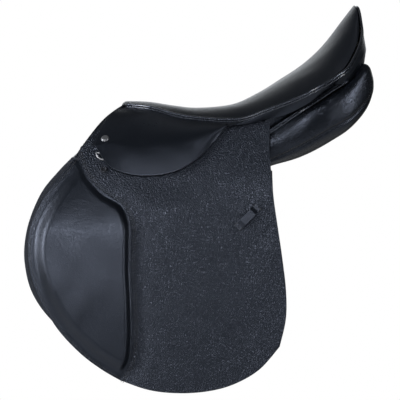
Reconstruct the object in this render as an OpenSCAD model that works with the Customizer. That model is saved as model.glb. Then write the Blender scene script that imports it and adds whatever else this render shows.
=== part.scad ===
// Jumping saddle, close contact pattern, on its tree with flaps, skirts, panels and billets.
// +X points to the cantle, -Y is the near (left) side, +Z is up.
// The origin lies on the midline under the lowest part of the seat, where the panels bear on the back.

/* [Seat] */
// Length of the seat from the front of the pommel to the back of the cantle
seat_len = 355; // [320:1:390]
// Distance from the reference point forward to the front of the pommel
pommel_reach = 124; // [115:1:132]
// Half width of the seat at its widest place
seat_half_w = 132; // [122:1:140]
// Height of the lowest part of the seat above the bearing level
seat_h = 87; // [82:1:95]
// Height of the cantle above the lowest part of the seat
cantle_rise = 155; // [135:1:170]
// Thickness of the seat leather
seat_cover_t = 2.5; // [2:0.1:3]
// Thickness of the seat foam
seat_foam_t = 12; // [8:0.5:13]
// Radius of the piping between seat and skirt
welt_r = 2.2; // [1.5:0.1:2.6]

/* [Tree] */
// Thickness of the laminated tree ring
tree_t = 11; // [8:0.5:12]
// Thickness of the seat webbing
webbing_t = 1.5; // [1:0.1:2]
// Thickness of the steel plates on the head of the tree
head_plate_t = 2.5; // [2:0.1:3]
// Width of a tree point
point_w = 24; // [18:1:28]
// Thickness of a tree point
point_t = 4; // [3:0.1:4.5]
// Thickness of the spring strips on the tree rails
spring_t = 1.6; // [1:0.1:2]

/* [Stirrup bars] */
// Distance from the reference point forward to the front end of the bar
bar_reach = 110; // [108:0.5:112]
// Height of the bar's back plate above the bearing level
bar_plate_z = 8; // [7:0.5:10]
// Distance of the bar's back plate from the midline
bar_half_w = 96; // [95.6:0.1:97]
// Length of the bar's back plate
bar_plate_len = 74; // [64:1:80]
// Height of the bar's back plate
bar_plate_h = 20; // [16:0.5:22]
// Thickness of the bar's back plate
bar_plate_t = 3; // [2.5:0.1:3.5]
// Radius of the bar that carries the stirrup strap
bar_r = 4; // [3.5:0.1:4.5]
// Margin of the flap's cut-out round the bar and its catch
bar_cut = 8; // [6:0.5:8]
// Gap behind the bar for the stirrup strap
bar_gap = 7.5; // [6:0.1:8]
// Length of the safety catch
catch_len = 16; // [12:0.5:20]
// Radius of the pin of the safety catch
catch_pin_r = 2; // [1.5:0.1:2.2]

/* [Flaps] */
// Length of the flap from its front edge to its rear edge
flap_len = 374; // [350:1:395]
// Distance from the reference point forward to the front edge of the flap
flap_reach = 257; // [245:1:265]
// Drop of the flap below its lifting line
flap_drop = 312; // [295:1:325]
// Depth of the flap's lifting line below the bearing level
flap_line_drop = 19; // [18:0.5:22]
// Height of the flap's fixed top above its lifting line
flap_rise = 79; // [74:0.5:82]
// How far the flap's fixed top tucks in under the skirt at the pommel
flap_tuck = 14; // [12:0.5:16]
// Length over which the flare of the flap dies out
flap_bow = 150; // [120:1:180]
// Half width of the saddle at the lifting line of the flaps
flap_half_w = 134; // [133:0.5:140]
// Thickness of the leather backing of the flap
flap_back_t = 2.1; // [1.8:0.1:2.4]
// Thickness of the grained leather on the flap
flap_cover_t = 2; // [1.5:0.1:2.2]
// Height of the knee pad above the flap
knee_pad_h = 11; // [6:0.5:14]
// Length of the keeper loop on the flap
keeper_len = 45; // [40:0.5:50]
// Width of the keeper loop
keeper_w = 12; // [10:0.5:14]
// Thickness of the keeper loop's leather
keeper_t = 2; // [1.5:0.1:2.5]
// Gap under the keeper loop
keeper_gap = 2.6; // [2:0.1:3]
// Radius of the round button on the front of the flap
button_r = 5.2; // [4:0.1:6]

/* [Skirts] */
// Distance from the reference point forward to the front edge of the skirt
skirt_reach = 163; // [158:1:168]
// Length of the skirt's lifting part
skirt_len = 197; // [185:1:205]
// Drop of the skirt's lower edge below the bearing level
skirt_drop = 17; // [14:0.5:17.5]
// Height of the skirt's lifting part
skirt_depth = 73; // [66:0.5:74]
// Bow of the skirt's front edge
skirt_bow = 11; // [6:0.5:14]
// Swell of the skirt over the stirrup bar
skirt_swell = 3; // [2:0.1:4]
// Thickness of the skirt leather
skirt_t = 3.2; // [2.5:0.1:3.6]
// Space between the skirt and the flap at the front, where the dee ring hangs
skirt_gap = 6.2; // [6:0.1:6.8]
// Space between the skirt's lower edge and the flap
skirt_edge_gap = 1.2; // [1:0.1:2]
// Radius of the nail head on the skirt
nail_r = 5.6; // [4:0.1:6]

/* [Dee rings] */
// Distance from the reference point forward to the dee ring
dee_reach = 148; // [145:0.5:150]
// Height of the dee ring's straight side above the bearing level
dee_z = 16; // [14:0.5:17]
// Radius of the dee ring's wire
dee_wire_r = 1.4; // [1:0.1:1.5]
// Inside width of the dee ring
dee_w = 19; // [16:0.5:21]
// Width of the loop that holds the dee ring
dee_loop_w = 10; // [8:0.5:12]
// Wall of the loop that holds the dee ring
dee_loop_t = 0.7; // [0.6:0.1:0.8]

/* [Panels] */
// Reach of the panels behind the back of the cantle
panel_tail = 22; // [15:1:35]
// Reach of the panels ahead of the front of the pommel
panel_nose = 92; // [80:1:100]
// Half width of the panels at their widest place
panel_half_w = 121; // [118:0.5:123]
// Height of the rear end of the panels above the bearing level
panel_rise = 133; // [125:1:138]
// Half thickness of a panel's stuffing at its fullest place
panel_half_t = 55; // [50:0.5:57]
// Depth of the sewn channels in the panels
channel_d = 2.4; // [1.5:0.1:3]
// Radius of the piping along the top of the panels
piping_r = 1.8; // [1.4:0.1:2.2]

/* [Under the flaps] */
// Length of the sweat flap
sweat_len = 369; // [355:1:380]
// Distance from the reference point forward to the front edge of the sweat flap
sweat_reach = 265; // [258:1:270]
// Drop of the sweat flap from its top edge
sweat_drop = 282; // [270:1:290]
// Depth of the sweat flap's top edge below the bearing level
sweat_top_drop = 10; // [8:0.5:12]
// Thickness of the sweat flap
sweat_t = 3; // [2.5:0.1:3.2]
// Distance of the sweat flap's inner face from the midline
sweat_half_w = 107; // [106.8:0.1:107.4]
// Width of a girth billet
billet_w = 25; // [22:0.5:28]
// Length of a girth billet
billet_len = 285; // [270:1:292]
// Thickness of a girth billet
billet_t = 3.5; // [3:0.1:3.6]
// Radius of a girth hole
hole_r = 2.5; // [2:0.1:3]
// Pitch of the girth holes along a billet
hole_pitch = 25; // [22:0.5:27]
// Distance of the front billet behind the reference point
billet_x = 2; // [0:0.5:4]
// Spacing of the three billets along the saddle
billet_pitch = 28; // [26:0.5:29]
// Depth of the billets' tops below the bearing level
billet_top_drop = 17.5; // [17:0.5:20]
// Length of a billet's pointed tip
billet_tip = 12; // [8:0.5:16]
// Distance from a billet's tip to its first girth hole
hole_first = 62; // [50:1:70]
// Thickness of the girth webs
web_t = 1.8; // [1.5:0.1:2]
// Height of the knee block at its fullest place
knee_block_h = 25; // [18:0.5:27]
// Height of the thigh block at its fullest place
thigh_block_h = 18; // [14:0.5:22]

/* [Hidden] */
$fn = 32;

// Clearance between pieces that lie against each other
fit = 0.3;
// Gap of a glued or sewn layer
glue_gap = 0.1;
// Gap between the stuffed layers of the seat and at its seams
seam_gap = 0.9;
// Overrun of every cut
overrun = 2;

// Colours of the materials
smooth_leather = "#23252b";
grained_leather = "#1c1d22";
lining_leather = "#2b2a2c";
steel = "#b9bcc2";
beech = "#c79b63";
foam = "#d8d2c2";
web_cloth = "#cfc8b4";

// Plain curve and surface helpers

function mix_of(a, b, t) = a + (b - a) * t;
function step_of(t) = let(c = max(0, min(1, t))) c * c * (3 - 2 * c);
function unit(v) = v / norm(v);
function scaled(p, s) = [for (k = [0:len(p) - 1]) p[k] * s[k]];

// Point at share s of a smooth curve through the points p
function curve_at(p, s) =
    let(n = len(p) - 1, k = min(floor(s * n), n - 1), t = s * n - k)
    let(p0 = p[max(k - 1, 0)], p1 = p[k], p2 = p[k + 1], p3 = p[min(k + 2, n)])
    (2 * p1 + (p2 - p0) * t + (2 * p0 - 5 * p1 + 4 * p2 - p3) * t * t
        + (3 * p1 - p0 - 3 * p2 + p3) * t * t * t) / 2;

// Point of the patch between four edge curves; top and bottom run along s, left and right along t
function patch_at(top, bottom, left, right, s, t) =
    let(c00 = curve_at(top, 0), c10 = curve_at(top, 1))
    let(c01 = curve_at(bottom, 0), c11 = curve_at(bottom, 1))
    mix_of(curve_at(top, s), curve_at(bottom, s), t)
        + mix_of(curve_at(left, t), curve_at(right, t), s)
        - mix_of(mix_of(c00, c10, s), mix_of(c01, c11, s), t);

// Unit normals of a grid of points
function grid_normals(g) =
    let(m = len(g) - 1, n = len(g[0]) - 1)
    [for (i = [0:m]) [for (j = [0:n])
        unit(cross(g[min(i + 1, m)][j] - g[max(i - 1, 0)][j],
                   g[i][min(j + 1, n)] - g[i][max(j - 1, 0)]))]];

// The grid g moved by distance d along its normals
function grid_offset(g, d) =
    let(nn = grid_normals(g))
    [for (i = [0:len(g) - 1]) [for (j = [0:len(g[0]) - 1]) g[i][j] + nn[i][j] * d]];

// The grid g sunk by distance d along its normals, which never lead it upwards
function grid_sunk(g, d) =
    let(nn = grid_normals(g))
    [for (i = [0:len(g) - 1]) [for (j = [0:len(g[0]) - 1])
        g[i][j] - unit([nn[i][j][0], nn[i][j][1], max(0, nn[i][j][2])]) * d]];

function shares(n) = [for (i = [0:n]) i / n];
function flat(l) = [for (row = l) for (p = row) p];

// The faces, each turned round where turn is true
function outward(faces, turn) = turn ? [for (f = faces) [f[2], f[1], f[0]]] : faces;

// Closed solid between two grids of equal size
module sheet(a, b) {
    m = len(a);
    n = len(a[0]);
    count = m * n;
    points = concat(flat(a), flat(b));
    side = function (i, j) i * n + j;
    ci = floor(m / 2) - 1;
    cj = floor(n / 2) - 1;
    facing = cross(a[ci + 1][cj] - a[ci][cj], a[ci][cj + 1] - a[ci][cj]) * (a[ci][cj] - b[ci][cj]);
    top = [for (i = [0:m - 2]) for (j = [0:n - 2])
        each [[side(i, j), side(i + 1, j), side(i + 1, j + 1)],
              [side(i, j), side(i + 1, j + 1), side(i, j + 1)]]];
    under = [for (f = top) [f[2] + count, f[1] + count, f[0] + count]];
    edge = concat([for (j = [0:n - 2]) side(0, j)], [for (i = [0:m - 2]) side(i, n - 1)],
                  [for (j = [n - 1:-1:1]) side(m - 1, j)], [for (i = [m - 1:-1:1]) side(i, 0)]);
    wall = [for (k = [0:len(edge) - 1])
        let(p = edge[k], q = edge[(k + 1) % len(edge)])
        each [[p, q, q + count], [p, q + count, p + count]]];
    polyhedron(points, outward(concat(top, under, wall), facing > 0));
}

// Closed solid through rings of equal count; closed runs back into its own start
module rings_solid(rings, closed = false) {
    m = len(rings);
    n = len(rings[0]);
    last = closed ? m - 1 : m - 2;
    skin = [for (i = [0:last]) for (j = [0:n - 1])
        let(k = (i + 1) % m, q = (j + 1) % n)
        each [[i * n + j, i * n + q, k * n + q], [i * n + j, k * n + q, k * n + j]]];
    heart = function (r) [for (c = [0:2]) [for (p = r) p[c]] * [for (p = r) 1 / n]];
    hearts = closed ? [] : [heart(rings[0]), heart(rings[m - 1])];
    caps = closed ? [] : [for (j = [0:n - 1])
        let(q = (j + 1) % n)
        each [[m * n, q, j], [m * n + 1, (m - 1) * n + j, (m - 1) * n + q]]];
    middle = floor(m / 2);
    p = rings[middle];
    facing = cross(p[1] - p[0], rings[middle - 1][0] - p[0]) * (p[0] - heart(p));
    polyhedron(concat(flat(rings), hearts), outward(concat(skin, caps), facing < 0));
}

// Rings of a round tube along a path
function tube_rings(path, r, sides) =
    let(m = len(path) - 1)
    [for (i = [0:m])
        let(along = unit(path[min(i + 1, m)] - path[max(i - 1, 0)]))
        let(across = unit(cross(along, [0, 0, 1])), up = cross(across, along))
        [for (k = [0:sides - 1]) path[i]
            + (across * cos(k * 360 / sides) - up * sin(k * 360 / sides)) * r]];

module right_side() {
    mirror([0, 1, 0]) children();
}

// Seat surface: a midline curve and a rim curve, with the sides falling away between them

// Midline of the seat, as shares of the seat's length and of the cantle's rise
seat_mid_shares = [[0, 0.065], [0.101, 0.058], [0.208, 0.023], [0.321, 0], [0.462, 0.035],
    [0.575, 0.148], [0.673, 0.285], [0.749, 0.398], [0.814, 0.522], [0.87, 0.658],
    [0.929, 0.838], [0.984, 1]];
// Rim of the seat, as shares of the seat's length, half width and cantle's rise
seat_rim_shares = [[0.014, 0.265, 0.032], [0.118, 0.47, 0], [0.223, 0.545, -0.071],
    [0.327, 0.606, -0.11], [0.493, 0.742, -0.126], [0.617, 0.871, -0.035], [0.738, 0.97, 0.071],
    [0.82, 1, 0.174], [0.882, 0.955, 0.271], [0.93, 0.871, 0.368], [0.98, 0.67, 0.59],
    [0.997, 0.455, 0.755]];
// How sharply the seat's sides fall away towards the rim
seat_fall_share = 2.5;

function seat_x(share) = share * seat_len - pommel_reach;
function seat_z(share) = seat_h + share * cantle_rise;
seat_mid = [for (p = seat_mid_shares) [seat_x(p[0]), 0, seat_z(p[1])]];
seat_rim = [for (p = seat_rim_shares) [seat_x(p[0]), p[1] * seat_half_w, seat_z(p[2])]];

// Seat point at share u from pommel to cantle and share v from the midline, positive to the left
function seat_at(u, v) =
    let(m = curve_at(seat_mid, u), r = curve_at(seat_rim, u), w = abs(v))
    [mix_of(m[0], r[0], w), -v * r[1], mix_of(m[2], r[2], pow(w, seat_fall_share))];

// Small step for surface directions, as a share
nudge_share = 0.01;

function seat_normal(u, v) =
    let(ua = max(u - nudge_share, 0), ub = min(u + nudge_share, 1))
    let(va = max(v - nudge_share, -1), vb = min(v + nudge_share, 1))
    unit(cross(seat_at(u, vb) - seat_at(u, va), seat_at(ub, v) - seat_at(ua, v)));

// Seat point sunk by depth d under the surface
function seat_under(u, v, d) = seat_at(u, v) - seat_normal(u, v) * d;

function seat_grid(u0, u1, nu, v0, v1, nv, d) =
    [for (i = shares(nu)) [for (j = shares(nv)) seat_under(mix_of(u0, u1, i), mix_of(v0, v1, j), d)]];

// Depths of the layers under the seat's surface
foam_top_d = seat_cover_t + seam_gap;
foam_low_d = foam_top_d + seat_foam_t;
webbing_top_d = foam_low_d + seam_gap;
webbing_low_d = webbing_top_d + webbing_t;
tree_top_d = webbing_low_d + seam_gap;
tree_low_d = tree_top_d + tree_t;
spring_top_d = tree_low_d + seam_gap;
spring_low_d = spring_top_d + spring_t;

// Rim of the seat walked from the left of the pommel over the cantle to the right of the pommel
rim_side_share = 0.42;
function rim_uv(k) =
    k <= rim_side_share ? [k / rim_side_share, 1]
    : k >= 1 - rim_side_share ? [(1 - k) / rim_side_share, -1]
    : [1, 1 - 2 * (k - rim_side_share) / (1 - 2 * rim_side_share)];
function rim_at(k) = let(p = rim_uv(k)) seat_at(p[0], p[1]);

// Level direction away from the seat at its rim, and the direction down that is square to the rim
rim_nudge_share = 0.012;
function rim_dirs(k) =
    let(a = rim_at(max(k - rim_nudge_share, 0)), b = rim_at(min(k + rim_nudge_share, 1)))
    let(out = unit(cross(b - a, [0, 0, 1])))
    [out, cross(unit(b - a), out)];

// The piping lies beside the rim, and the skirt and the cantle's facing hang under the piping
rim_out_share = 0.85;
rim_down_share = 0.53;
hang_out_share = 0.3;
hang_down_share = 0.954;
hang_d = welt_r + seam_gap * 3 / 2;
function rim_out(k) = rim_dirs(k)[0] * rim_out_share + rim_dirs(k)[1] * rim_down_share;
function welt_d(k) = seam_gap + welt_r + seat_cover_t * max(0, rim_out(k)[0]);
function rim_welt(k) = rim_at(k) + rim_out(k) * welt_d(k);
function rim_hang(k) =
    let(dirs = rim_dirs(k))
    rim_welt(k) + (dirs[0] * hang_out_share + dirs[1] * hang_down_share) * hang_d;

module seat_cover() {
    color(smooth_leather)
        sheet(seat_grid(0, 1, 22, 1, -1, 16, 0), seat_grid(0, 1, 22, 1, -1, 16, seat_cover_t));
}

// The foam stays inside the rim by these shares
foam_u_shares = [0.02, 0.94];
foam_v_share = 0.93;

module seat_foam() {
    color(foam)
        sheet(seat_grid(foam_u_shares[0], foam_u_shares[1], 16,
                        foam_v_share, -foam_v_share, 12, foam_top_d),
              seat_grid(foam_u_shares[0], foam_u_shares[1], 16,
                        foam_v_share, -foam_v_share, 12, foam_low_d));
}

// Two webs run lengthwise, as shares of the seat's half width
webbing_u_shares = [0.06, 0.86];
webbing_v_shares = [0.08, 0.42];

module seat_webbing() {
    for (side = [-1, 1])
        color(web_cloth)
            sheet(seat_grid(webbing_u_shares[0], webbing_u_shares[1], 16,
                            side * webbing_v_shares[0], side * webbing_v_shares[1], 2, webbing_top_d),
                  seat_grid(webbing_u_shares[0], webbing_u_shares[1], 16,
                            side * webbing_v_shares[0], side * webbing_v_shares[1], 2, webbing_low_d));
}

module seat_welt() {
    color(smooth_leather)
        rings_solid(tube_rings([for (k = shares(56)) rim_welt(k)], welt_r, 6));
}

// The tree ring, as shares of the seat's length and half width at its inner and outer edge
tree_mid_share = 0.455;
tree_inner_shares = [0.345, 0.5];
tree_outer_shares = [0.435, 0.76];
tree_round_share = 0.75;

function round_power(c) = sign(c) * pow(abs(c), tree_round_share);
function tree_uv(edge, angle) =
    [tree_mid_share + edge[0] * round_power(cos(angle)), edge[1] * round_power(sin(angle))];
function tree_pt(edge, angle, d) = let(p = tree_uv(edge, angle)) seat_under(p[0], p[1], d);

module tree_frame() {
    steps = 52;
    color(beech)
        rings_solid([for (i = [0:steps - 1])
            let(angle = (i + 1 / 2) * 360 / steps)
            let(middle = (tree_inner_shares + tree_outer_shares) / 2)
            [tree_pt(tree_inner_shares, angle, tree_top_d), tree_pt(middle, angle, tree_top_d),
             tree_pt(tree_outer_shares, angle, tree_top_d), tree_pt(tree_outer_shares, angle, tree_low_d),
             tree_pt(middle, angle, tree_low_d), tree_pt(tree_inner_shares, angle, tree_low_d)]],
            closed = true);
}

// Spring strips lie under the rails, as shares along and across the seat
spring_u_shares = [0.2, 0.8];
spring_v_shares = [0.52, 0.68];

module tree_spring_left() {
    color(steel)
        sheet(seat_grid(spring_u_shares[0], spring_u_shares[1], 12,
                        spring_v_shares[0], spring_v_shares[1], 2, spring_top_d),
              seat_grid(spring_u_shares[0], spring_u_shares[1], 12,
                        spring_v_shares[0], spring_v_shares[1], 2, spring_low_d));
}

// Steel plates of the head: one lies on the ring inside the arch, one hangs under it
head_u_shares = [0.03, 0.1];
head_v_share = 0.48;
gullet_u_shares = [0.03, 0.11];
gullet_v_share = 0.74;

module head_plate() {
    color(steel)
        sheet(seat_grid(head_u_shares[0], head_u_shares[1], 2,
                        head_v_share, -head_v_share, 8, spring_top_d),
              seat_grid(head_u_shares[0], head_u_shares[1], 2,
                        head_v_share, -head_v_share, 8, spring_top_d + head_plate_t));
}

module gullet_plate() {
    top_d = spring_top_d + head_plate_t + fit;
    color(steel)
        sheet(seat_grid(gullet_u_shares[0], gullet_u_shares[1], 2,
                        gullet_v_share, -gullet_v_share, 10, top_d),
              seat_grid(gullet_u_shares[0], gullet_u_shares[1], 2,
                        gullet_v_share, -gullet_v_share, 10, top_d + head_plate_t));
}

// Flap surface: distance from the midline grows below the lifting line and shrinks above it

flap_line_z = -flap_line_drop;
// Slope of the lifting line along the saddle, flare of the flap and lean of its fixed top
flap_skew_share = 0.06;
flap_flare_shares = [0.3, 0.12];
flap_lean_share = 0.45;
flap_t = flap_cover_t + glue_gap + flap_back_t;

function flap_x(share) = share * flap_len - flap_reach;
function flap_line_a(x) = flap_half_w + flap_skew_share * x;
function flap_low_a(x, z) =
    let(flare = mix_of(flap_flare_shares[0], flap_flare_shares[1], (x + flap_reach) / flap_len))
    flap_line_a(x) + flare * flap_bow * (1 - exp((z - flap_line_z) / flap_bow));
// The fixed top tucks in above this share of its rise, ahead of the stirrup bar
flap_tuck_share = 0.595;
function flap_tuck_at(x, z) =
    let(high = ((z - flap_line_z) / flap_rise - flap_tuck_share) / (1 - flap_tuck_share))
    flap_tuck * pow(max(0, high), 2) * step_of((-bar_reach - x) / (bar_plate_len / 3));
function flap_top_a(x, z) =
    flap_line_a(x) - flap_lean_share * (z - flap_line_z) - flap_tuck_at(x, z);
function inward(g, d) = [for (row = g) [for (p = row) p + [0, d, 0]]];

// Outline of the flap, as shares of its length from the front and of its drop
flap_front_shares = [[0.12, 0], [0.052, 0.115], [0.01, 0.233], [0, 0.345], [0.013, 0.455],
    [0.044, 0.5625]];
flap_toe_shares = [[0.044, 0.5625], [0.115, 0.702], [0.199, 0.811], [0.28, 0.886], [0.359, 0.942]];
flap_seam_shares = [[0.23, 0], [0.29, 0.075], [0.366, 0.132], [0.4, 0.225], [0.402, 0.33], [0.402, 0.44],
    [0.407, 0.55], [0.41, 0.65], [0.41, 0.75], [0.4, 0.855], [0.359, 0.942]];
flap_hem_shares = [[0.359, 0.942], [0.48, 0.987], [0.605, 1], [0.721, 0.987], [0.815, 0.951],
    [0.9, 0.888], [0.974, 0.787]];
flap_rear_shares = [[0.945, 0], [0.953, 0.11], [0.967, 0.23], [0.985, 0.38], [0.999, 0.53],
    [0.998, 0.66], [0.974, 0.787]];
flap_line_front_shares = [[0.12, 0], [0.23, 0]];
flap_line_rear_shares = [[0.23, 0], [0.945, 0]];

// Flap point: s runs 0 to 1 over the knee pad and 1 to 2 over the grained leather, t runs down
function flap_at(s, t) =
    let(p = s <= 1
        ? patch_at(flap_line_front_shares, flap_toe_shares, flap_front_shares, flap_seam_shares, s, t)
        : patch_at(flap_line_rear_shares, flap_hem_shares, flap_seam_shares, flap_rear_shares, s - 1, t))
    let(x = flap_x(p[0]), z = flap_line_z - p[1] * flap_drop)
    [x, -flap_low_a(x, z), z];
function flap_grid(s_list, nt) = [for (t = shares(nt)) [for (s = s_list) flap_at(s, t)]];

module flap_left() {
    columns = concat(shares(6), [for (i = [1:9]) 1 + i / 9]);
    outer = inward(flap_grid(columns, 16), flap_cover_t + glue_gap);
    color(lining_leather)
        sheet(outer, inward(outer, flap_back_t));
}

module flap_cover_left() {
    outer = flap_grid([for (s = shares(9)) 1 + s], 16);
    color(grained_leather)
        sheet(outer, inward(outer, flap_cover_t));
}

// The knee pad stops just short of the seam; its crown rises inside these shares of its width and height
pad_edge_share = 0.99;
pad_rise_shares = [0.05, 0.16, 0.03, 0.12];
pad_fall_shares = [0.03, 0.3, 0.05, 0.18];

function pad_crown(s, t) =
    step_of((s - pad_rise_shares[0]) / (pad_rise_shares[1] - pad_rise_shares[0]))
    * step_of((1 - s - pad_rise_shares[2]) / (pad_rise_shares[3] - pad_rise_shares[2]))
    * step_of((t - pad_fall_shares[0]) / (pad_fall_shares[1] - pad_fall_shares[0]))
    * step_of((1 - t - pad_fall_shares[2]) / (pad_fall_shares[3] - pad_fall_shares[2]));

module knee_pad_left() {
    columns = 12;
    rows = 16;
    s_list = [for (s = shares(columns)) s * pad_edge_share];
    base = flap_grid(s_list, rows);
    crown = [for (i = [0:rows]) [for (j = [0:columns])
        base[i][j] - [0, knee_pad_h * pad_crown(s_list[j], i / rows), 0]]];
    color(smooth_leather)
        sheet(crown, inward(base, flap_cover_t));
}

// Fixed top of the flap, as shares of the flap's length and of its rise
top_front_shares = [[0.12, 0], [0.155, 0.19], [0.186, 0.41], [0.2134, 0.61], [0.2356, 0.763], [0.258, 0.915]];
top_edge_shares = [[0.258, 0.915], [0.314, 0.83], [0.372, 0.715], [0.5, 0.72], [0.65, 0.8], [0.8, 0.89],
    [0.942, 1]];
top_rear_shares = [[0.945, 0], [0.94, 0.3], [0.938, 0.65], [0.942, 1]];
top_line_shares = [[0.12, 0], [0.945, 0]];

function flap_top_pt(x, z) = [x, -flap_top_a(x, z), z];
function flap_top_at(s, t) =
    let(p = patch_at(top_line_shares, top_edge_shares, top_front_shares, top_rear_shares, s, t))
    flap_top_pt(flap_x(p[0]), flap_line_z + fit + p[1] * (flap_rise - fit));

module flap_top_left() {
    outer = [for (t = shares(8)) [for (s = shares(14)) flap_top_at(s, t)]];
    color(grained_leather)
        difference() {
            sheet(outer, inward(outer, flap_t));
            translate([-bar_reach - bar_cut, -bar_a - flap_half_w / 2, bar_plate_z - bar_cut])
                cube([bar_reach + catch_x + catch_len + 2 * bar_cut, flap_half_w,
                      bar_z + catch_len - bar_plate_z + 2 * bar_cut]);
        }
}

// Skirt: a fixed strip under the seat's rim that runs out in a tail, and a lifting lower part

// Lifting line and lower edge, as shares of the skirt's length and depth
skirt_line_shares = [[0.01, 0.603], [1, 1]];
skirt_edge_shares = [[0.01, 0.603], [0.041, 0.474], [0.089, 0.277], [0.148, 0.133], [0.241, 0.045],
    [0.34, 0], [0.438, 0], [0.538, 0.034], [0.636, 0.114], [0.722, 0.24], [0.801, 0.399],
    [0.866, 0.595], [0.933, 0.81], [1, 1]];
// The full space behind the skirt narrows between these shares of its length
skirt_narrow_shares = [0.07, 0.32];
// The lifting part starts and stops at these shares of the line
skirt_span_shares = [0.03, 0.965];
// Tail of the skirt under the seat's rim, as shares of the seat's length, half width and cantle's rise
skirt_tail_shares = [[0.532, 0.816, -0.181], [0.617, 0.822, -0.134], [0.693, 0.894, -0.088],
    [0.786, 0.955, 0.026], [0.873, 0.932, 0.187]];
// Where the strip ends along the rim
strip_rim_share = 0.305;

function skirt_x(share) = share * skirt_len - skirt_reach;
function skirt_z(share) = share * skirt_depth - skirt_drop;
function skirt_pt(p, w) =
    let(x = skirt_x(p[0]), z = skirt_z(p[1]))
    let(full = skirt_narrow_shares[0], close = skirt_narrow_shares[1])
    let(narrow = step_of((p[0] - full) / (close - full)))
    let(gap = mix_of(skirt_gap, skirt_edge_gap, w * narrow) + skirt_swell * sin(w * 180) * narrow)
    [x, -flap_top_a(x, z) - gap - skirt_t, z];
function skirt_line_at(s) = skirt_pt(mix_of(skirt_line_shares[0], skirt_line_shares[1], s), 0);

module skirt_left() {
    outer = [for (w = shares(6)) [for (i = shares(20))
        let(s = mix_of(skirt_span_shares[0], skirt_span_shares[1], i))
        let(top = mix_of(skirt_line_shares[0], skirt_line_shares[1], s))
        let(bottom = curve_at(skirt_edge_shares, s))
        skirt_pt(mix_of(top, bottom, w), w) - [0, 0, fit * (1 - w)]]];
    color(smooth_leather)
        sheet(outer, inward(outer, skirt_t));
}

strip_steps = 10;
strip_rim = [for (i = shares(2 * strip_steps)) rim_hang(i * strip_rim_share)];
strip_tail = concat([skirt_line_at(1)],
    [for (p = skirt_tail_shares) [seat_x(p[0]), -p[1] * seat_half_w, seat_z(p[2])]]);
strip_low = concat([for (i = shares(strip_steps)) skirt_line_at(i)],
    [for (i = [1:strip_steps]) curve_at(strip_tail, i / strip_steps)]);
// The front edge of the skirt bows forwards and up, in these shares, and the bow fades out behind it
skirt_bow_shares = [-0.35, 0, 0.94];
bow_fade = 4;

// Strip point at share s from the front to the tail and share t from the seat's rim down
function strip_at(s, t) =
    mix_of(curve_at(strip_rim, s), curve_at(strip_low, s), t)
        + skirt_bow_shares * skirt_bow * sin(t * 180) * pow(1 - s, bow_fade);

module skirt_top_left() {
    rows = 5;
    outer = [for (t = shares(rows)) [for (s = shares(2 * strip_steps)) strip_at(s, t)]];
    under = grid_sunk(outer, skirt_t);
    inner = [for (i = [0:rows]) i < rows ? under[i] : inward([outer[i]], skirt_t)[0]];
    color(smooth_leather)
        sheet(outer, inner);
}

// Facing of the cantle's back, from the rim down to the panels

facing_t = skirt_t;
facing_rim_shares = [0.31, 0.69];
// Lower edge of the facing on one side, as shares of the seat's length, half width and cantle's rise
facing_edge_shares = [[0.886, 0.92, 0.18], [0.952, 0.83, 0.3], [1.003, 0.67, 0.46],
    [1.025, 0.455, 0.545], [1.025, 0.23, 0.5], [1.02, 0, 0.43]];

module cantle_facing() {
    left = [for (p = facing_edge_shares) [seat_x(p[0]), -p[1] * seat_half_w, seat_z(p[2])]];
    low = concat(left, [for (i = [len(left) - 2:-1:0]) [left[i][0], -left[i][1], left[i][2]]]);
    outer = [for (t = shares(4)) [for (s = shares(26))
        mix_of(rim_hang(mix_of(facing_rim_shares[0], facing_rim_shares[1], s)),
               curve_at(low, s), t)]];
    color(smooth_leather)
        sheet(outer, grid_sunk(outer, facing_t));
}

// Facing of the pommel's front, over the arch

arch_shares = [[-0.153, 0.73, -0.381], [-0.105, 0.53, -0.265], [-0.06, 0.265, -0.161],
    [-0.0225, 0, -0.123]];

module pommel_facing() {
    left = [for (p = arch_shares) [seat_x(p[0]), -p[1] * seat_half_w, seat_z(p[2])]];
    arch = concat(left, [for (i = [len(left) - 2:-1:0]) [left[i][0], -left[i][1], left[i][2]]]);
    top = [for (s = shares(12)) seat_at(0, 1 - 2 * s) - [fit + facing_t, 0, fit]];
    side = [for (t = shares(6))
        mix_of(top[0], arch[0], t) + skirt_bow_shares * (skirt_bow - 2 * welt_r) * sin(t * 180)];
    other = [for (p = side) [p[0], -p[1], p[2]]];
    outer = [for (t = shares(5)) [for (s = shares(12)) patch_at(top, arch, side, other, s, t)]];
    color(smooth_leather)
        sheet(outer, [for (row = outer) [for (p = row) p + [facing_t, 0, 0]]]);
}

// Panels: stuffed cushions, sections along X

// Stations from front to rear, as shares of the panel's length, rise, half thickness and half width
// (inner and outer side), with the slope of the section last
panel_shares = [
    [0, -0.18, 0.18, 0.545, 0.744, 0.3], [0.017, -0.165, 0.455, 0.446, 0.835, 0.3],
    [0.064, -0.188, 0.89, 0.372, 0.881, 0.3], [0.109, -0.188, 0.96, 0.36, 0.86, 0.35],
    [0.194, -0.105, 0.764, 0.347, 0.798, 0.45], [0.333, 0.015, 0.455, 0.331, 0.789, 0.6],
    [0.461, 0.045, 0.436, 0.314, 0.826, 0.6], [0.567, 0.07, 0.45, 0.289, 0.881, 0.42],
    [0.667, 0.203, 0.564, 0.281, 0.917, 0.15], [0.759, 0.342, 0.655, 0.281, 1, -0.06],
    [0.825, 0.474, 0.69, 0.281, 0.988, -0.1], [0.861, 0.556, 0.709, 0.281, 0.967, -0.1],
    [0.913, 0.677, 0.745, 0.281, 0.909, -0.06], [0.957, 0.842, 0.764, 0.298, 0.802, 0],
    [0.981, 0.895, 0.582, 0.331, 0.711, 0], [0.9935, 0.8985, 0.309, 0.388, 0.628, 0],
    [1, 0.8985, 0.09, 0.463, 0.545, 0]];
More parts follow.
